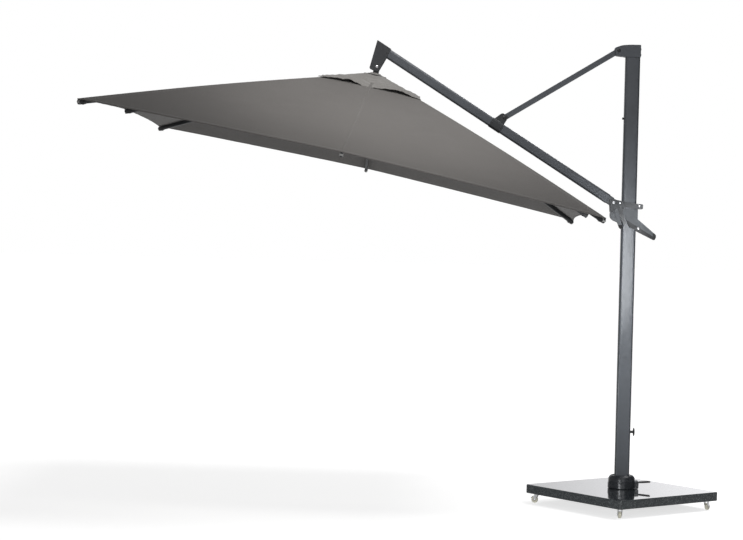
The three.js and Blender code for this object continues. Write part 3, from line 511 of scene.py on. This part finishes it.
def make_slab():
    """The slab with a polished top and polished chamfers down its corners and round its rim."""
    low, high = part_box("granite_slab")
    turn = math.radians(SLAB_TURN)
    half = high.x / (math.cos(turn) + math.sin(turn))
    corner, rim = 8 * MM, 3 * MM
    points, faces = [], []
    for inset, z in ((rim, low.z), (0, low.z + rim), (0, high.z - rim), (rim, high.z)):
        side, cut = half - inset, corner
        for quarter in range(4):
            spin = turn + quarter * math.pi / 2
            for x, y in ((side, side - cut), (side - cut, side)):
                turned_x = x * math.cos(spin) - y * math.sin(spin)
                turned_y = x * math.sin(spin) + y * math.cos(spin)
                points.append((turned_x, turned_y, z))
    for row in range(3):
        for k in range(8):
            a, b = 8 * row + k, 8 * row + (k + 1) % 8
            faces.append((a, b, b + 8, a + 8))
    faces += [tuple(range(8))[::-1], tuple(range(24, 32))]
    slab = from_points("granite_slab_piece", points, faces, math.radians(20))
    finish(slab, "base", MATERIAL["granite"], ["granite_slab"])
    slab.data.materials.append(POLISHED)
    for face in slab.data.polygons:
        face.material_index = 1 if face.normal.z > 0.3 or face.area < 0.002 else 0
    bevel = slab.modifiers.new("edges", "BEVEL")
    bevel.width = 0.6 * MM
    bevel.segments = 2


def castor_details(k):
    """Four screws under the plate and the axle's rivet heads, with a brake lever on a braked castor."""
    low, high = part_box(f"castor_plate_{k}")
    centre = (low + high) / 2
    turn = math.radians(SLAB_TURN)
    places = []
    for sx in (-1, 1):
        for sy in (-1, 1):
            x, y = 16 * MM * sx, 16 * MM * sy
            spot = (x * math.cos(turn) - y * math.sin(turn), x * math.sin(turn) + y * math.cos(turn))
            places.append((centre.x + spot[0], centre.y + spot[1], low.z))
    screws(f"castor_screws_{k}", "base", places, (0, 0, -1), 3 * MM, 1.6 * MM)
    fork = JOINTS[f"castor_{k}_roll"]
    axle, along = Vector(fork["pos_m"]), Vector(fork["axis"])
    heads = [turned("rivet", [(5 * MM, 0), (4.6 * MM, 1.2 * MM), (2.5 * MM, 2.2 * MM)],
                    axle + side * 13 * MM * along, side * along, 20) for side in (-1, 1)]
    finish(join(f"castor_rivets_{k}", heads), f"castor_{k}", MATERIAL["steel"])
    if k in BRAKED:
        brake_lever(k, axle, along)


BRAKED = (2, 3)


def brake_lever(k, axle, along):
    """The toe lever of a braked castor: a curved black tongue over the wheel."""
    ahead = Vector((-along.y, along.x, 0))
    ahead = ahead * (1 if ahead.dot(axle.to_2d().to_3d()) > 0 else -1)
    profile = []
    for step in range(9):
        angle = math.radians(20 + 11 * step)
        profile.append((22.5 * MM * math.cos(angle), 22.5 * MM * math.sin(angle)))
    points, faces = [], []
    for d, h in profile:
        for side, thick in ((-7, 0), (7, 0), (7, 2.4), (-7, 2.4)):
            grow = 1 + thick * MM / (22.5 * MM)
            points.append(axle + ahead * d * grow + along * side * MM + Vector((0, 0, h * grow)))
    for row in range(8):
        for c in range(4):
            a, b = 4 * row + c, 4 * row + (c + 1) % 4
            faces.append((a, b, b + 4, a + 4))
    faces += [(0, 1, 2, 3), (35, 34, 33, 32)]
    lever = from_points(f"castor_brake_{k}", points, faces)
    finish(lever, f"castor_{k}", MATERIAL["black_plastic"])


def pedal_ribs():
    """Raised grip bars across the pedal's blade."""
    hinge = Vector(JOINTS["pedal_press"]["pos_m"])
    rise = math.radians(4.7)
    parts = []
    for k in range(7):
        along = 0.032 + 0.0065 * k
        points, faces = [], []
        for u, up in ((-1.4, 0), (-0.9, 1.1), (0.9, 1.1), (1.4, 0)):
            d, h = along + u * MM, (2.9 + up) * MM
            for y in (-0.022, 0.022):
                out = d * math.cos(rise) - h * math.sin(rise)
                over = d * math.sin(rise) + h * math.cos(rise)
                points.append(hinge + Vector((out, y, over)))
        for row in range(3):
            a = 2 * row
            faces.append((a, a + 1, a + 3, a + 2))
        faces += [(0, 2, 4, 6), (1, 7, 5, 3), (0, 6, 7, 1)]
        parts.append(from_points("bar", points, faces))
    finish(join("pedal_grip", parts), "pedal", RUBBER)


def foot_screws():
    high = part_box("foot_cover")[1]
    places = [(62 * MM * math.cos(a), 62 * MM * math.sin(a), high.z - 0.6 * MM)
              for a in (math.radians(45 + 90 * k) for k in range(4))]
    screws("foot_screws", "base", places, (0, 0, 1), 3 * MM, 1.6 * MM)


# ---------------------------------------------------------------- mast, strut and boom
def make_mast():
    softened("mast", 0.6 * MM)
    softened("mast_cap", 2.2 * MM, segments=3)
    softened("mast_bumper", 1.5 * MM, RUBBER, 3)
    softened("mast_knob", 1.2 * MM, segments=3)
    knob_grips()
    cross_bolt("strut_top_bolt", 11 * MM, "black_plastic")
    low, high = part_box("mast_cap")
    places = [(high.x - 0.4 * MM, 0, low.z + h) for h in (58 * MM, 93 * MM)]
    screws("cap_screws", "mast", places, (1, 0, 0), 6.5 * MM, 5 * MM, "black_plastic")


def knob_grips():
    """Finger scallops round the knob's rim, as raised ribs."""
    hinge = JOINTS["knob_turn"]["pos_m"]
    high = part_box("mast_knob")[1]
    parts = []
    for k in range(12):
        a = 2 * math.pi * k / 12
        centre = Vector((high.x - 8.6 * MM, 24 * MM * math.cos(a), hinge[2] + 24 * MM * math.sin(a)))
        profile = [(1.6 * MM, 0), (2.2 * MM, 1 * MM), (2.2 * MM, 5.4 * MM), (1.4 * MM, 6.6 * MM)]
        parts.append(turned("rib", profile, centre, (1, 0, 0), 12))
    finish(join("knob_grips", parts), "knob", MATERIAL["black_plastic"])


def make_boom():
    softened("boom", 0.8 * MM)
    fittings = (("boom_foot_fitting", 1.5), ("boom_clevis", 1.5), ("boom_end_bracket", 1.8), ("strut", 1.6))
    for node, width in fittings:
        softened(node, width * MM, segments=3)
    cross_bolt("strut_foot_bolt", 11 * MM, "black_plastic")
    cross_bolt("hub_pivot_bolt", 10 * MM)
    foot = Vector(JOINTS["carriage_hinge"]["pos_m"])
    slope = math.radians(BOOM_SLOPE)
    along = Vector((-math.cos(slope), 0, math.sin(slope)))
    above = Vector((math.sin(slope), 0, math.cos(slope)))

    def on_boom(distance, up, y):
        return foot + along * distance * MM + above * up * MM + Vector((0, y * MM, 0))

    for name, half, spots in (
        ("bracket_rivets", 26.6, ((1700, 0), (1736, 0))),
        ("clevis_screws", 25.6, ((846, 0), (907, 0))),
    ):
        for side in (-1, 1):
            places = [on_boom(d, up, side * half) for d, up in spots]
            end = "front" if side < 0 else "back"
            screws(f"{name}_{end}", "boom", places, (0, side, 0), 4 * MM, 2 * MM, "black_plastic")


# ---------------------------------------------------------------- carriage
def make_carriage():
    for node, width in (
        ("carriage_plate_front", 0.8),
        ("carriage_plate_back", 0.8),
        ("slider_handle", 1.6),
        ("latch_housing", 1.6),
        ("release_trigger", 0.9),
        ("rear_roller", 0.8),
        ("lower_roller", 0.8),
    ):
        softened(node, width * MM, segments=3)
    # The handle gets its black end and, along its lower edge, a band of painted shade in black.
    two_tone("slider_handle_piece", MATERIAL["black_plastic"], handle_end_and_painted_shade, HANDLE_CUTS)
    trigger_cuts = [(TRIGGER_TIP, Vector((0, 0, 1)))]
    two_tone("release_trigger_piece", RUBBER, lambda p: p.z < TRIGGER_TIP.z, trigger_cuts)
    cross_bolt("boom_foot_bolt", 9 * MM)
    for node in ("front_cross_bolt", "rear_roller_bolt", "handle_bolt"):
        cross_bolt(node, 8 * MM)


def two_tone(name, material, is_dark, cuts):
    """Cuts a piece's faces along planes and gives some of them a second material: a moulded-on one, and on the
    handle also a band of painted shade.
    """
    piece = bpy.data.objects[name]
    tidy = bmesh.new()
    tidy.from_mesh(piece.data)
    for place, normal in cuts:
        geometry = tidy.verts[:] + tidy.edges[:] + tidy.faces[:]
        bmesh.ops.bisect_plane(tidy, geom=geometry, plane_co=place, plane_no=normal)
    for face in tidy.faces:
        face.material_index = 1 if is_dark(face.calc_center_median()) else 0
    tidy.to_mesh(piece.data)
    tidy.free()
    smooth(piece.data)
    piece.data.materials.append(material)


HANDLE_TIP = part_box("slider_handle")[1].x - 20 * MM
# Where the band of painted shade on the handle's lower edge starts, and how it runs.
PAINTED_SHADE_TOP = Vector((-0.018, 0, 1.7995))
PAINTED_SHADE_RUN = Vector((0.178, 0, -0.1075))
PAINTED_SHADE_NORMAL = PAINTED_SHADE_RUN.cross(Vector((0, 1, 0))).normalized() * -1
HANDLE_CUTS = [
    (Vector((HANDLE_TIP, 0, 0)), Vector((1, 0, 0))),
    (PAINTED_SHADE_TOP, Vector((0, 0, 1))),
    (PAINTED_SHADE_TOP, PAINTED_SHADE_NORMAL),
]
TRIGGER_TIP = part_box("release_trigger")[0] + Vector((0, 0, 24 * MM))


def handle_end_and_painted_shade(place):
    """The handle's black end, and a band along its lower edge painted black as shade for the opening under the
    plates.
    """
    in_painted_shade = place.z < PAINTED_SHADE_TOP.z and (place - PAINTED_SHADE_TOP).dot(PAINTED_SHADE_NORMAL) > 0
    return place.x > HANDLE_TIP or in_painted_shade


# ---------------------------------------------------------------- canopy
class Canopy:
    """The canopy's own frame, with x outwards, y across and z up its axis, and the shape of its cloth."""

    def __init__(self):
        across = Vector(JOINTS["rib_1_hinge"]["axis"])
        out = -Vector(JOINTS["rib_3_hinge"]["axis"])
        up = out.cross(across)
        hub = Vector(JOINTS["canopy_tilt"]["pos_m"])
        self.matrix = Matrix.Translation(hub) @ Matrix((out, across, up)).transposed().to_4x4()
        inverse = self.matrix.inverted()
        points = [inverse @ v.co for v in NODES["canopy"].data.vertices]
        self.half = max(p.x for p in points)
        self.hole = min(max(abs(p.x), abs(p.y)) for p in points)
        under = {}
        for p in points:
            key = (round(abs(p.x), 3), round(abs(p.y), 3))
            under[key] = min(under.get(key, 9), p.z)
        half, hole = round(self.half, 3), round(self.hole, 3)
        self.fall = (under[(hole, 0.0)] - under[(half, 0.0)]) / (half - hole)
        self.fold = (under[(half, 0.0)] - under[(half, half)]) / half
        self.apex = under[(hole, 0.0)] + self.fall * hole
        flap = [inverse @ v.co for v in NODES["vent_flap"].data.vertices]
        self.flap_half = max(p.x for p in flap)
        self.flap_top = max(p.z for p in flap)
        self.pivot = inverse @ Vector(JOINTS["rib_1_hinge"]["pos_m"])

    def world(self, x, y, z):
        return self.matrix @ Vector((x, y, z))

    def cloth_z(self, x, y):
        """The cloth as sewn: straight along the ribs but for a slight bow, and pulled down between them."""
        far, near = max(abs(x), abs(y)), min(abs(x), abs(y))
        share = max(0.0, min(1.0, (far - self.hole) / (self.half - self.hole)))
        bow = BOW * math.sin(math.pi * share)
        dip = SAG * math.sin(math.pi * near / max(far, 1e-6)) * (0.25 + 0.75 * share)
        pull = 0.0012 * noise.noise(Vector((9 * x, 9 * y, 0))) * math.sin(math.pi * near / max(far, 1e-6))
        return self.apex - self.fall * far - self.fold * near + bow - dip + pull

    def edge(self, near_share):
        """How far out the hem runs, at a share of the way from a middle tip to a corner."""
        return self.half - SCALLOP * 4 * near_share * (1 - near_share)


BOW = 0.011
SAG = 0.008
SCALLOP = 0.026
CLOTH_UP = 0.0022  # the cloth lies this far over its CAD sheet's underside
canopy = Canopy()


def gore_grid(rib, side, rows, columns, inner, outer):
    """Points of half a gore in the canopy's plane: from its rib to the middle of a panel beside it.

    inner and outer give the far coordinate for a share between a side's middle and a corner.
    """
    grid = []
    for r in range(rows + 1):
        line = []
        for c in range(columns + 1):
            angle = math.radians(45 * rib + side * 22.5 * c / columns)
            x, y = math.cos(angle), math.sin(angle)
            far, near = max(abs(x), abs(y)), min(abs(x), abs(y))
            share = near / far
            start, end = inner(share), outer(share)
            s = (start + (end - start) * r / rows) / far
            line.append((x * s, y * s))
        grid.append(line)
    return grid


def cloth_piece(name, rib, side, grid, height, material, thick, replaces=()):
    """A sheet from a grid of plane points, with its flat coordinates for the weave.

    It has a top, an underside and a closed inner and outer edge. Its sides stay open, because the
    next gore carries the same surface on.
    """
    rows, columns = len(grid), len(grid[0])
    plane = [spot for line in grid for spot in line]
    top = [canopy.world(x, y, height(x, y)) for x, y in plane]
    upward = surface_normals(plane, height)
    under = [p - n * thick for p, n in zip(top, upward)]
    normals = upward + [-n for n in upward]
    points = top + under
    faces = []
    below = len(top)
    for r in range(rows - 1):
        for c in range(columns - 1):
            a = r * columns + c
            b = a + columns
            faces.append((a, b, b + 1, a + 1)[::side])
            faces.append((below + a, below + a + 1, below + b + 1, below + b)[::side])
    for row, outward in ((0, -1), (rows - 1, 1)):
        first = len(points)
        for c in range(columns):
            a = row * columns + c
            points += [top[a], under[a]]
            plane += [plane[a], plane[a]]
            away = canopy.matrix.to_3x3() @ Vector((*plane[a], 0)).normalized() * outward
            normals += [away, away]
        for c in range(columns - 1):
            a = first + 2 * c
            faces.append((a, a + 2, a + 3, a + 1)[::-outward * side])
    plane = plane[:below] + plane[:below] + plane[below:]
    mesh = bpy.data.meshes.new(name)
    mesh.from_pydata([tuple(p) for p in points], [], faces)
    flat = mesh.uv_layers.new(name="flat")
    for loop in mesh.loops:
        x, y = plane[loop.vertex_index]
        flat.data[loop.index].uv = (x, y) if abs(x) > abs(y) else (y, x)
    mesh.shade_smooth()
    made = linked(name, mesh)
    mesh.normals_split_custom_set_from_vertices(normals)
    made.data.materials.append(material)
    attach(made, f"rib_{rib + 1}")
    fold_half(made, rib, side, height)
    if replaces:
        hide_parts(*replaces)
    return made


def surface_normals(plane, height):
    """Normals of the whole surface, so that neighbouring gores meet without a line."""
    step = 0.004
    normals = []

    def on_cloth(x, y):
        return canopy.world(x, y, height(x, y))

    for x, y in plane:
        across = on_cloth(x + step, y) - on_cloth(x - step, y)
        along = on_cloth(x, y + step) - on_cloth(x, y - step)
        normal = across.cross(along).normalized()
        normals.append(normal if normal.z > 0 else -normal)
    return normals


def fold_with(made):
    """Gives the piece its own copy of its mesh."""
    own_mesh(made)


def fold_half(made, rib, side, height):
    """Works out the rib's line and the way across its panel, which nothing then uses, and gives half a gore its
    own copy of its mesh.
    """
    ridge = math.radians(45 * rib)
    middle = math.radians(45 * rib + side * 22.5)
    start, end, beside = (
        canopy.world(r * math.cos(a), r * math.sin(a), height(r * math.cos(a), r * math.sin(a)))
        for r, a in ((0.1, ridge), (canopy.flap_half, ridge), (canopy.flap_half, middle))
    )
    run = (end - start).normalized()
    across = beside - start
    across = (across - run * across.dot(run)).normalized()
    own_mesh(made)


def main_height(x, y):
    return canopy.cloth_z(x, y) + CLOTH_UP


def halves():
    """Each rib with each side of it, and a name for that half gore."""
    for rib in range(8):
        for side in (1, -1):
            yield rib, side, f"{rib + 1}{'a' if side > 0 else 'b'}"


def make_cloth():
    for rib, side, name in halves():
        grid = gore_grid(rib, side, 60, 18, lambda share: canopy.hole, canopy.edge)
        replaced = ["canopy"] if name == "1a" else ()
        piece = cloth_piece(
            f"canopy_gore_{name}", rib, side, grid, main_height, MATERIAL["fabric"], 1.0 * MM, replaced
        )
        grid_area(grid, main_height)


def grid_area(grid, height):
    total = 0.0
    for r in range(len(grid) - 1):
        for c in range(len(grid[0]) - 1):
            a, b, d, e = (Vector((x, y, height(x, y))) for x, y in
                          (grid[r][c], grid[r + 1][c], grid[r + 1][c + 1], grid[r][c + 1]))
            total += (b - a).cross(d - a).length / 2 + (d - a).cross(e - a).length / 2
    return total


def flap_height(x, y):
    """The flap is tied down on the ribs and arches up between them, with loose wrinkles."""
    far, near = max(abs(x), abs(y)), min(abs(x), abs(y))
    share = near / max(far, 1e-6)
    out = min(1.0, far / canopy.flap_half)
    arch = 0.02 * math.sin(math.pi * share) ** 2 * out**2
    broad = noise.noise(Vector((26 * x, 26 * y, 3))) * 0.006
    crease = broad + noise.noise(Vector((60 * x, 60 * y, 8))) * 0.0022
    spoke = 0.0025 * math.sin(14 * math.atan2(y, x) + 3 * out) * out
    return canopy.flap_top - 0.385 * far - 0.002 + arch + (crease + spoke) * min(1.0, 1.6 * out)


def flap_edge(share):
    return canopy.flap_half - 0.012 * 4 * share * (1 - share)


def make_flap():
    for rib, side, name in halves():
        grid = gore_grid(rib, side, 26, 12, lambda share: 0.031, flap_edge)
        replaced = ["vent_flap"] if name == "1a" else ()
        piece = cloth_piece(
            f"flap_gore_{name}", rib, side, grid, flap_height, LIGHTENED_FLAP_CLOTH, 0.9 * MM, replaced
        )
        grid_area(grid, flap_height)


def strip(name, rib, side, path, half_width, height, material, up):
    """A flat band that follows a path in the canopy's plane, lying on a surface."""
    points, faces = [], []
    for k, (x, y) in enumerate(path):
        before, after = path[max(k - 1, 0)], path[min(k + 1, len(path) - 1)]
        run = Vector((after[0] - before[0], after[1] - before[1])).normalized()
        aside = Vector((-run.y, run.x)) * half_width
        for sx, lift in ((-1, -0.3), (-0.8, 1), (0.8, 1), (1, -0.3)):
            px, py = x + sx * aside.x, y + sx * aside.y
            points.append(canopy.world(px, py, height(px, py) + lift * up))
    for k in range(len(path) - 1):
        for c in range(3):
            a = 4 * k + c
            faces.append((a, a + 4, a + 5, a + 1))
    made = from_points(name, points, faces, math.radians(70))
    flat = made.data.uv_layers.new(name="flat")
    for loop in made.data.loops:
        k, c = divmod(loop.vertex_index, 4)
        flat.data[loop.index].uv = (k * 0.03, c * half_width * 0.5)
    on_rib(made, rib, side, height, material)


def on_rib(made, rib, side, height, material):
    """A sewn detail that rides on a rib: it gets its material, its rib's body and its own copy of its mesh."""
    made.data.materials.append(material)
    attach(made, f"rib_{rib + 1}")
    if side:
        fold_half(made, rib, side, height)
    else:
        fold_with(made)


def tube(name, points, radius, sides=8):
    """A round tube through world points, capped."""
    ring, faces = [], []
    for k, p in enumerate(points):
        ahead = (points[min(k + 1, len(points) - 1)] - points[max(k - 1, 0)]).normalized()
        side = ahead.cross(Vector((0, 0, 1)))
        side = side.normalized() if side.length > 1e-4 else Vector((1, 0, 0))
        up = side.cross(ahead)
        for s in range(sides):
            a = 2 * math.pi * s / sides
            ring.append(p + (side * math.cos(a) + up * math.sin(a)) * radius)
    for k in range(len(points) - 1):
        for s in range(sides):
            a, b = k * sides + s, k * sides + (s + 1) % sides
            faces.append((a, b, b + sides, a + sides))
    faces.append(tuple(range(sides))[::-1])
    faces.append(tuple(range(len(ring) - sides, len(ring))))
    return from_points(name, ring, faces)


def edge_path(rib, side, count, inset, outer):
    """Plane points along the hem of half a gore."""
    return gore_grid(rib, side, 1, count, lambda share: 0.1, lambda share: outer(share) - inset)[1]


def roll(name, rib, side, edge, height, radius, material):
    """A rolled hem: a thin tube along the sheet's edge."""
    path = edge_path(rib, side, 26, 0, edge)
    points = [canopy.world(x, y, height(x, y) - 0.5 * MM) for x, y in path]
    on_rib(tube(name, points, radius), rib, side, height, material)


def make_hems():
    for rib, side, name in halves():
        roll(f"hem_roll_{name}", rib, side, canopy.edge, main_height, 2.2 * MM, MATERIAL["fabric"])
        band = edge_path(rib, side, 26, 0.014, canopy.edge)
        strip(f"hem_band_{name}", rib, side, band, 0.012, main_height, MATERIAL["fabric"], 0.9 * MM)
        roll(f"flap_roll_{name}", rib, side, flap_edge, flap_height, 2 * MM, LIGHTENED_FLAP_CLOTH)


def rib_facts(rib):
    """The direction of a rib in the canopy's plane, and how far out its tip is."""
    angle = math.radians(45 * rib)
    node = NODES[f"rib_{rib + 1}"]
    inverse = canopy.matrix.inverted()
    reach = max((inverse @ v.co).to_2d().length for v in node.data.vertices)
    return Vector((math.cos(angle), math.sin(angle))), reach


def make_seams():
    for rib in range(8):
        way = rib_facts(rib)[0]
        start = canopy.hole / max(abs(way.x), abs(way.y))
        end = (canopy.half - 0.02) / max(abs(way.x), abs(way.y))
        path = [tuple(way * (start + (end - start) * k / 70)) for k in range(71)]
        strip(f"seam_{rib + 1}", rib, 0, path, 0.008, main_height, MATERIAL["fabric"], 1.1 * MM)
        stitches(f"stitches_{rib + 1}", rib, way, start, end)


def stitches(name, rib, way, start, end):
    """Two rows of short stitches along a seam."""
    side = Vector((-way.y, way.x))
    points, faces = [], []
    count = int((end - start) / 0.009)
    for k in range(count):
        s = start + 0.004 + k * 0.009
        for offset in (-0.0055, 0.0055):
            first = len(points)
            for along, across, up in (
                (0, -0.4, 0.9), (0, 0.4, 0.9), (2.5, -0.5, 1.9),
                (2.5, 0.5, 1.9), (5, -0.4, 0.9), (5, 0.4, 0.9),
            ):
                p = way * (s + along * MM) + side * (offset + across * MM)
                points.append(canopy.world(p.x, p.y, main_height(p.x, p.y) + up * MM))
            faces += [(first, first + 2, first + 3, first + 1), (first + 2, first + 4, first + 5, first + 3)]
    on_rib(from_points(name, points, faces), rib, 0, main_height, THREAD)


def make_ribs():
    for rib in range(8):
        way, reach = rib_facts(rib)
        rib_bar(rib, way, reach)
        rib_tip(rib, way, reach)
        softened(f"stretcher_{rib + 1}", 0.7 * MM)


def rib_axis(rib):
    """The rib's line in the canopy's frame, from its hinge to its tip, and its slope."""
    inverse = canopy.matrix.inverted()
    hinge = inverse @ Vector(JOINTS[f"rib_{rib + 1}_hinge"]["pos_m"])
    joint = inverse @ Vector(JOINTS[f"stretcher_{rib + 1}_hinge"]["pos_m"])
    return hinge, (joint - hinge).normalized()


def rib_bar(rib, way, reach):
    """A tube of rounded section, bowed a little as the cloth pulls it."""
    hinge, run = rib_axis(rib)
    side = Vector((-way.y, way.x, 0))
    up = run.cross(side)
    up = up if up.z > 0 else -up
    length = (reach - hinge.to_2d().length) / run.to_2d().length
    wide, tall, corner = 7.5 * MM, 14 * MM, 3.5 * MM
    section = []
    for cx, cy, start in ((1, 1, 0), (-1, 1, 90), (-1, -1, 180), (1, -1, 270)):
        for k in range(4):
            a = math.radians(start + 30 * k)
            across = (wide - corner) * cx + corner * math.cos(a)
            section.append((across, (tall - corner) * cy + corner * math.sin(a)))
    points, faces = [], []
    steps, n = 40, len(section)
    for k in range(steps + 1):
        d = length * k / steps
        lift = 0.8 * BOW * math.sin(math.pi * k / steps)
        for sx, sy in section:
            points.append(canopy.matrix @ (hinge + run * d + side * sx + up * (sy + lift)))
    for k in range(steps):
        for s in range(n):
            a, b = k * n + s, k * n + (s + 1) % n
            faces.append((a, b, b + n, a + n))
    faces.append(tuple(range(n))[::-1])
    faces.append(tuple(range(len(points) - n, len(points))))
    made = from_points(f"rib_{rib + 1}_piece", points, faces)
    finish(made, f"rib_{rib + 1}", MATERIAL["dark_frame"], [f"rib_{rib + 1}"])


def rib_tip(rib, way, reach):
    """A black cap on the rib's end and the light strap that ties the cloth's corner to it."""
    hinge, run = rib_axis(rib)
    side = Vector((-way.y, way.x, 0))
    up = run.cross(side)
    up = up if up.z > 0 else -up
    length = (reach - hinge.to_2d().length) / run.to_2d().length
    points, faces = [], []
    for d, grow in ((-0.045, 0.6), (-0.04, 1.6), (-0.002, 1.6), (0.004, 0.2)):
        wide, tall = (7.5 + grow) * MM, (14 + grow) * MM
        outline = (
            (1, 0.7), (0.7, 1), (-0.7, 1), (-1, 0.7), (-1, -0.7), (-0.7, -1), (0.7, -1), (1, -0.7),
        )
        for sx, sy in outline:
            points.append(canopy.matrix @ (hinge + run * (length + d) + side * wide * sx + up * tall * sy))
    for row in range(3):
        for s in range(8):
            a, b = 8 * row + s, 8 * row + (s + 1) % 8
            faces.append((a, b, b + 8, a + 8))
    faces += [tuple(range(8))[::-1], tuple(range(24, 32))]
    finish(from_points(f"rib_cap_{rib + 1}", points, faces, math.radians(60)), f"rib_{rib + 1}",
           MATERIAL["black_plastic"])
    loop, edges = [], []
    for k in range(13):
        a = math.pi * k / 12 - math.pi / 2
        for across in (-11 * MM, 11 * MM):
            d = length - 0.03 + 0.036 * math.cos(a) if abs(a) < 1.57 else length - 0.03
            h = 17.5 * MM * math.sin(a)
            loop.append(canopy.matrix @ (hinge + run * d + side * across + up * h))
    for k in range(12):
        a = 2 * k
        edges.append((a, a + 1, a + 3, a + 2))
    strap = from_points(f"tip_strap_{rib + 1}", loop, edges, math.radians(80))
    solid = strap.modifiers.new("thickness", "SOLIDIFY")
    solid.thickness = 1.2 * MM
    finish(strap, f"rib_{rib + 1}", TAPE)


def make_crown():
    softened("crown", 1.0 * MM)
    softened("runner", 0.8 * MM)
    up = canopy.matrix.to_3x3() @ Vector((0, 0, 1))
    profile = [
        (27 * MM, -6 * MM), (37 * MM, -5 * MM), (36 * MM, -1 * MM), (29 * MM, 3 * MM), (27 * MM, 3 * MM),
    ]
    neck = turned("flap_neck_binding", profile, canopy.world(0, 0, canopy.flap_top - 0.012), up, 48)
    finish(neck, "crown", LIGHTENED_FLAP_CLOTH)


make_camera()
make_world()
make_stage()
make_base()
make_mast()
make_boom()
make_carriage()
make_ribs()
make_crown()
make_cloth()
make_flap()
make_hems()
make_seams()
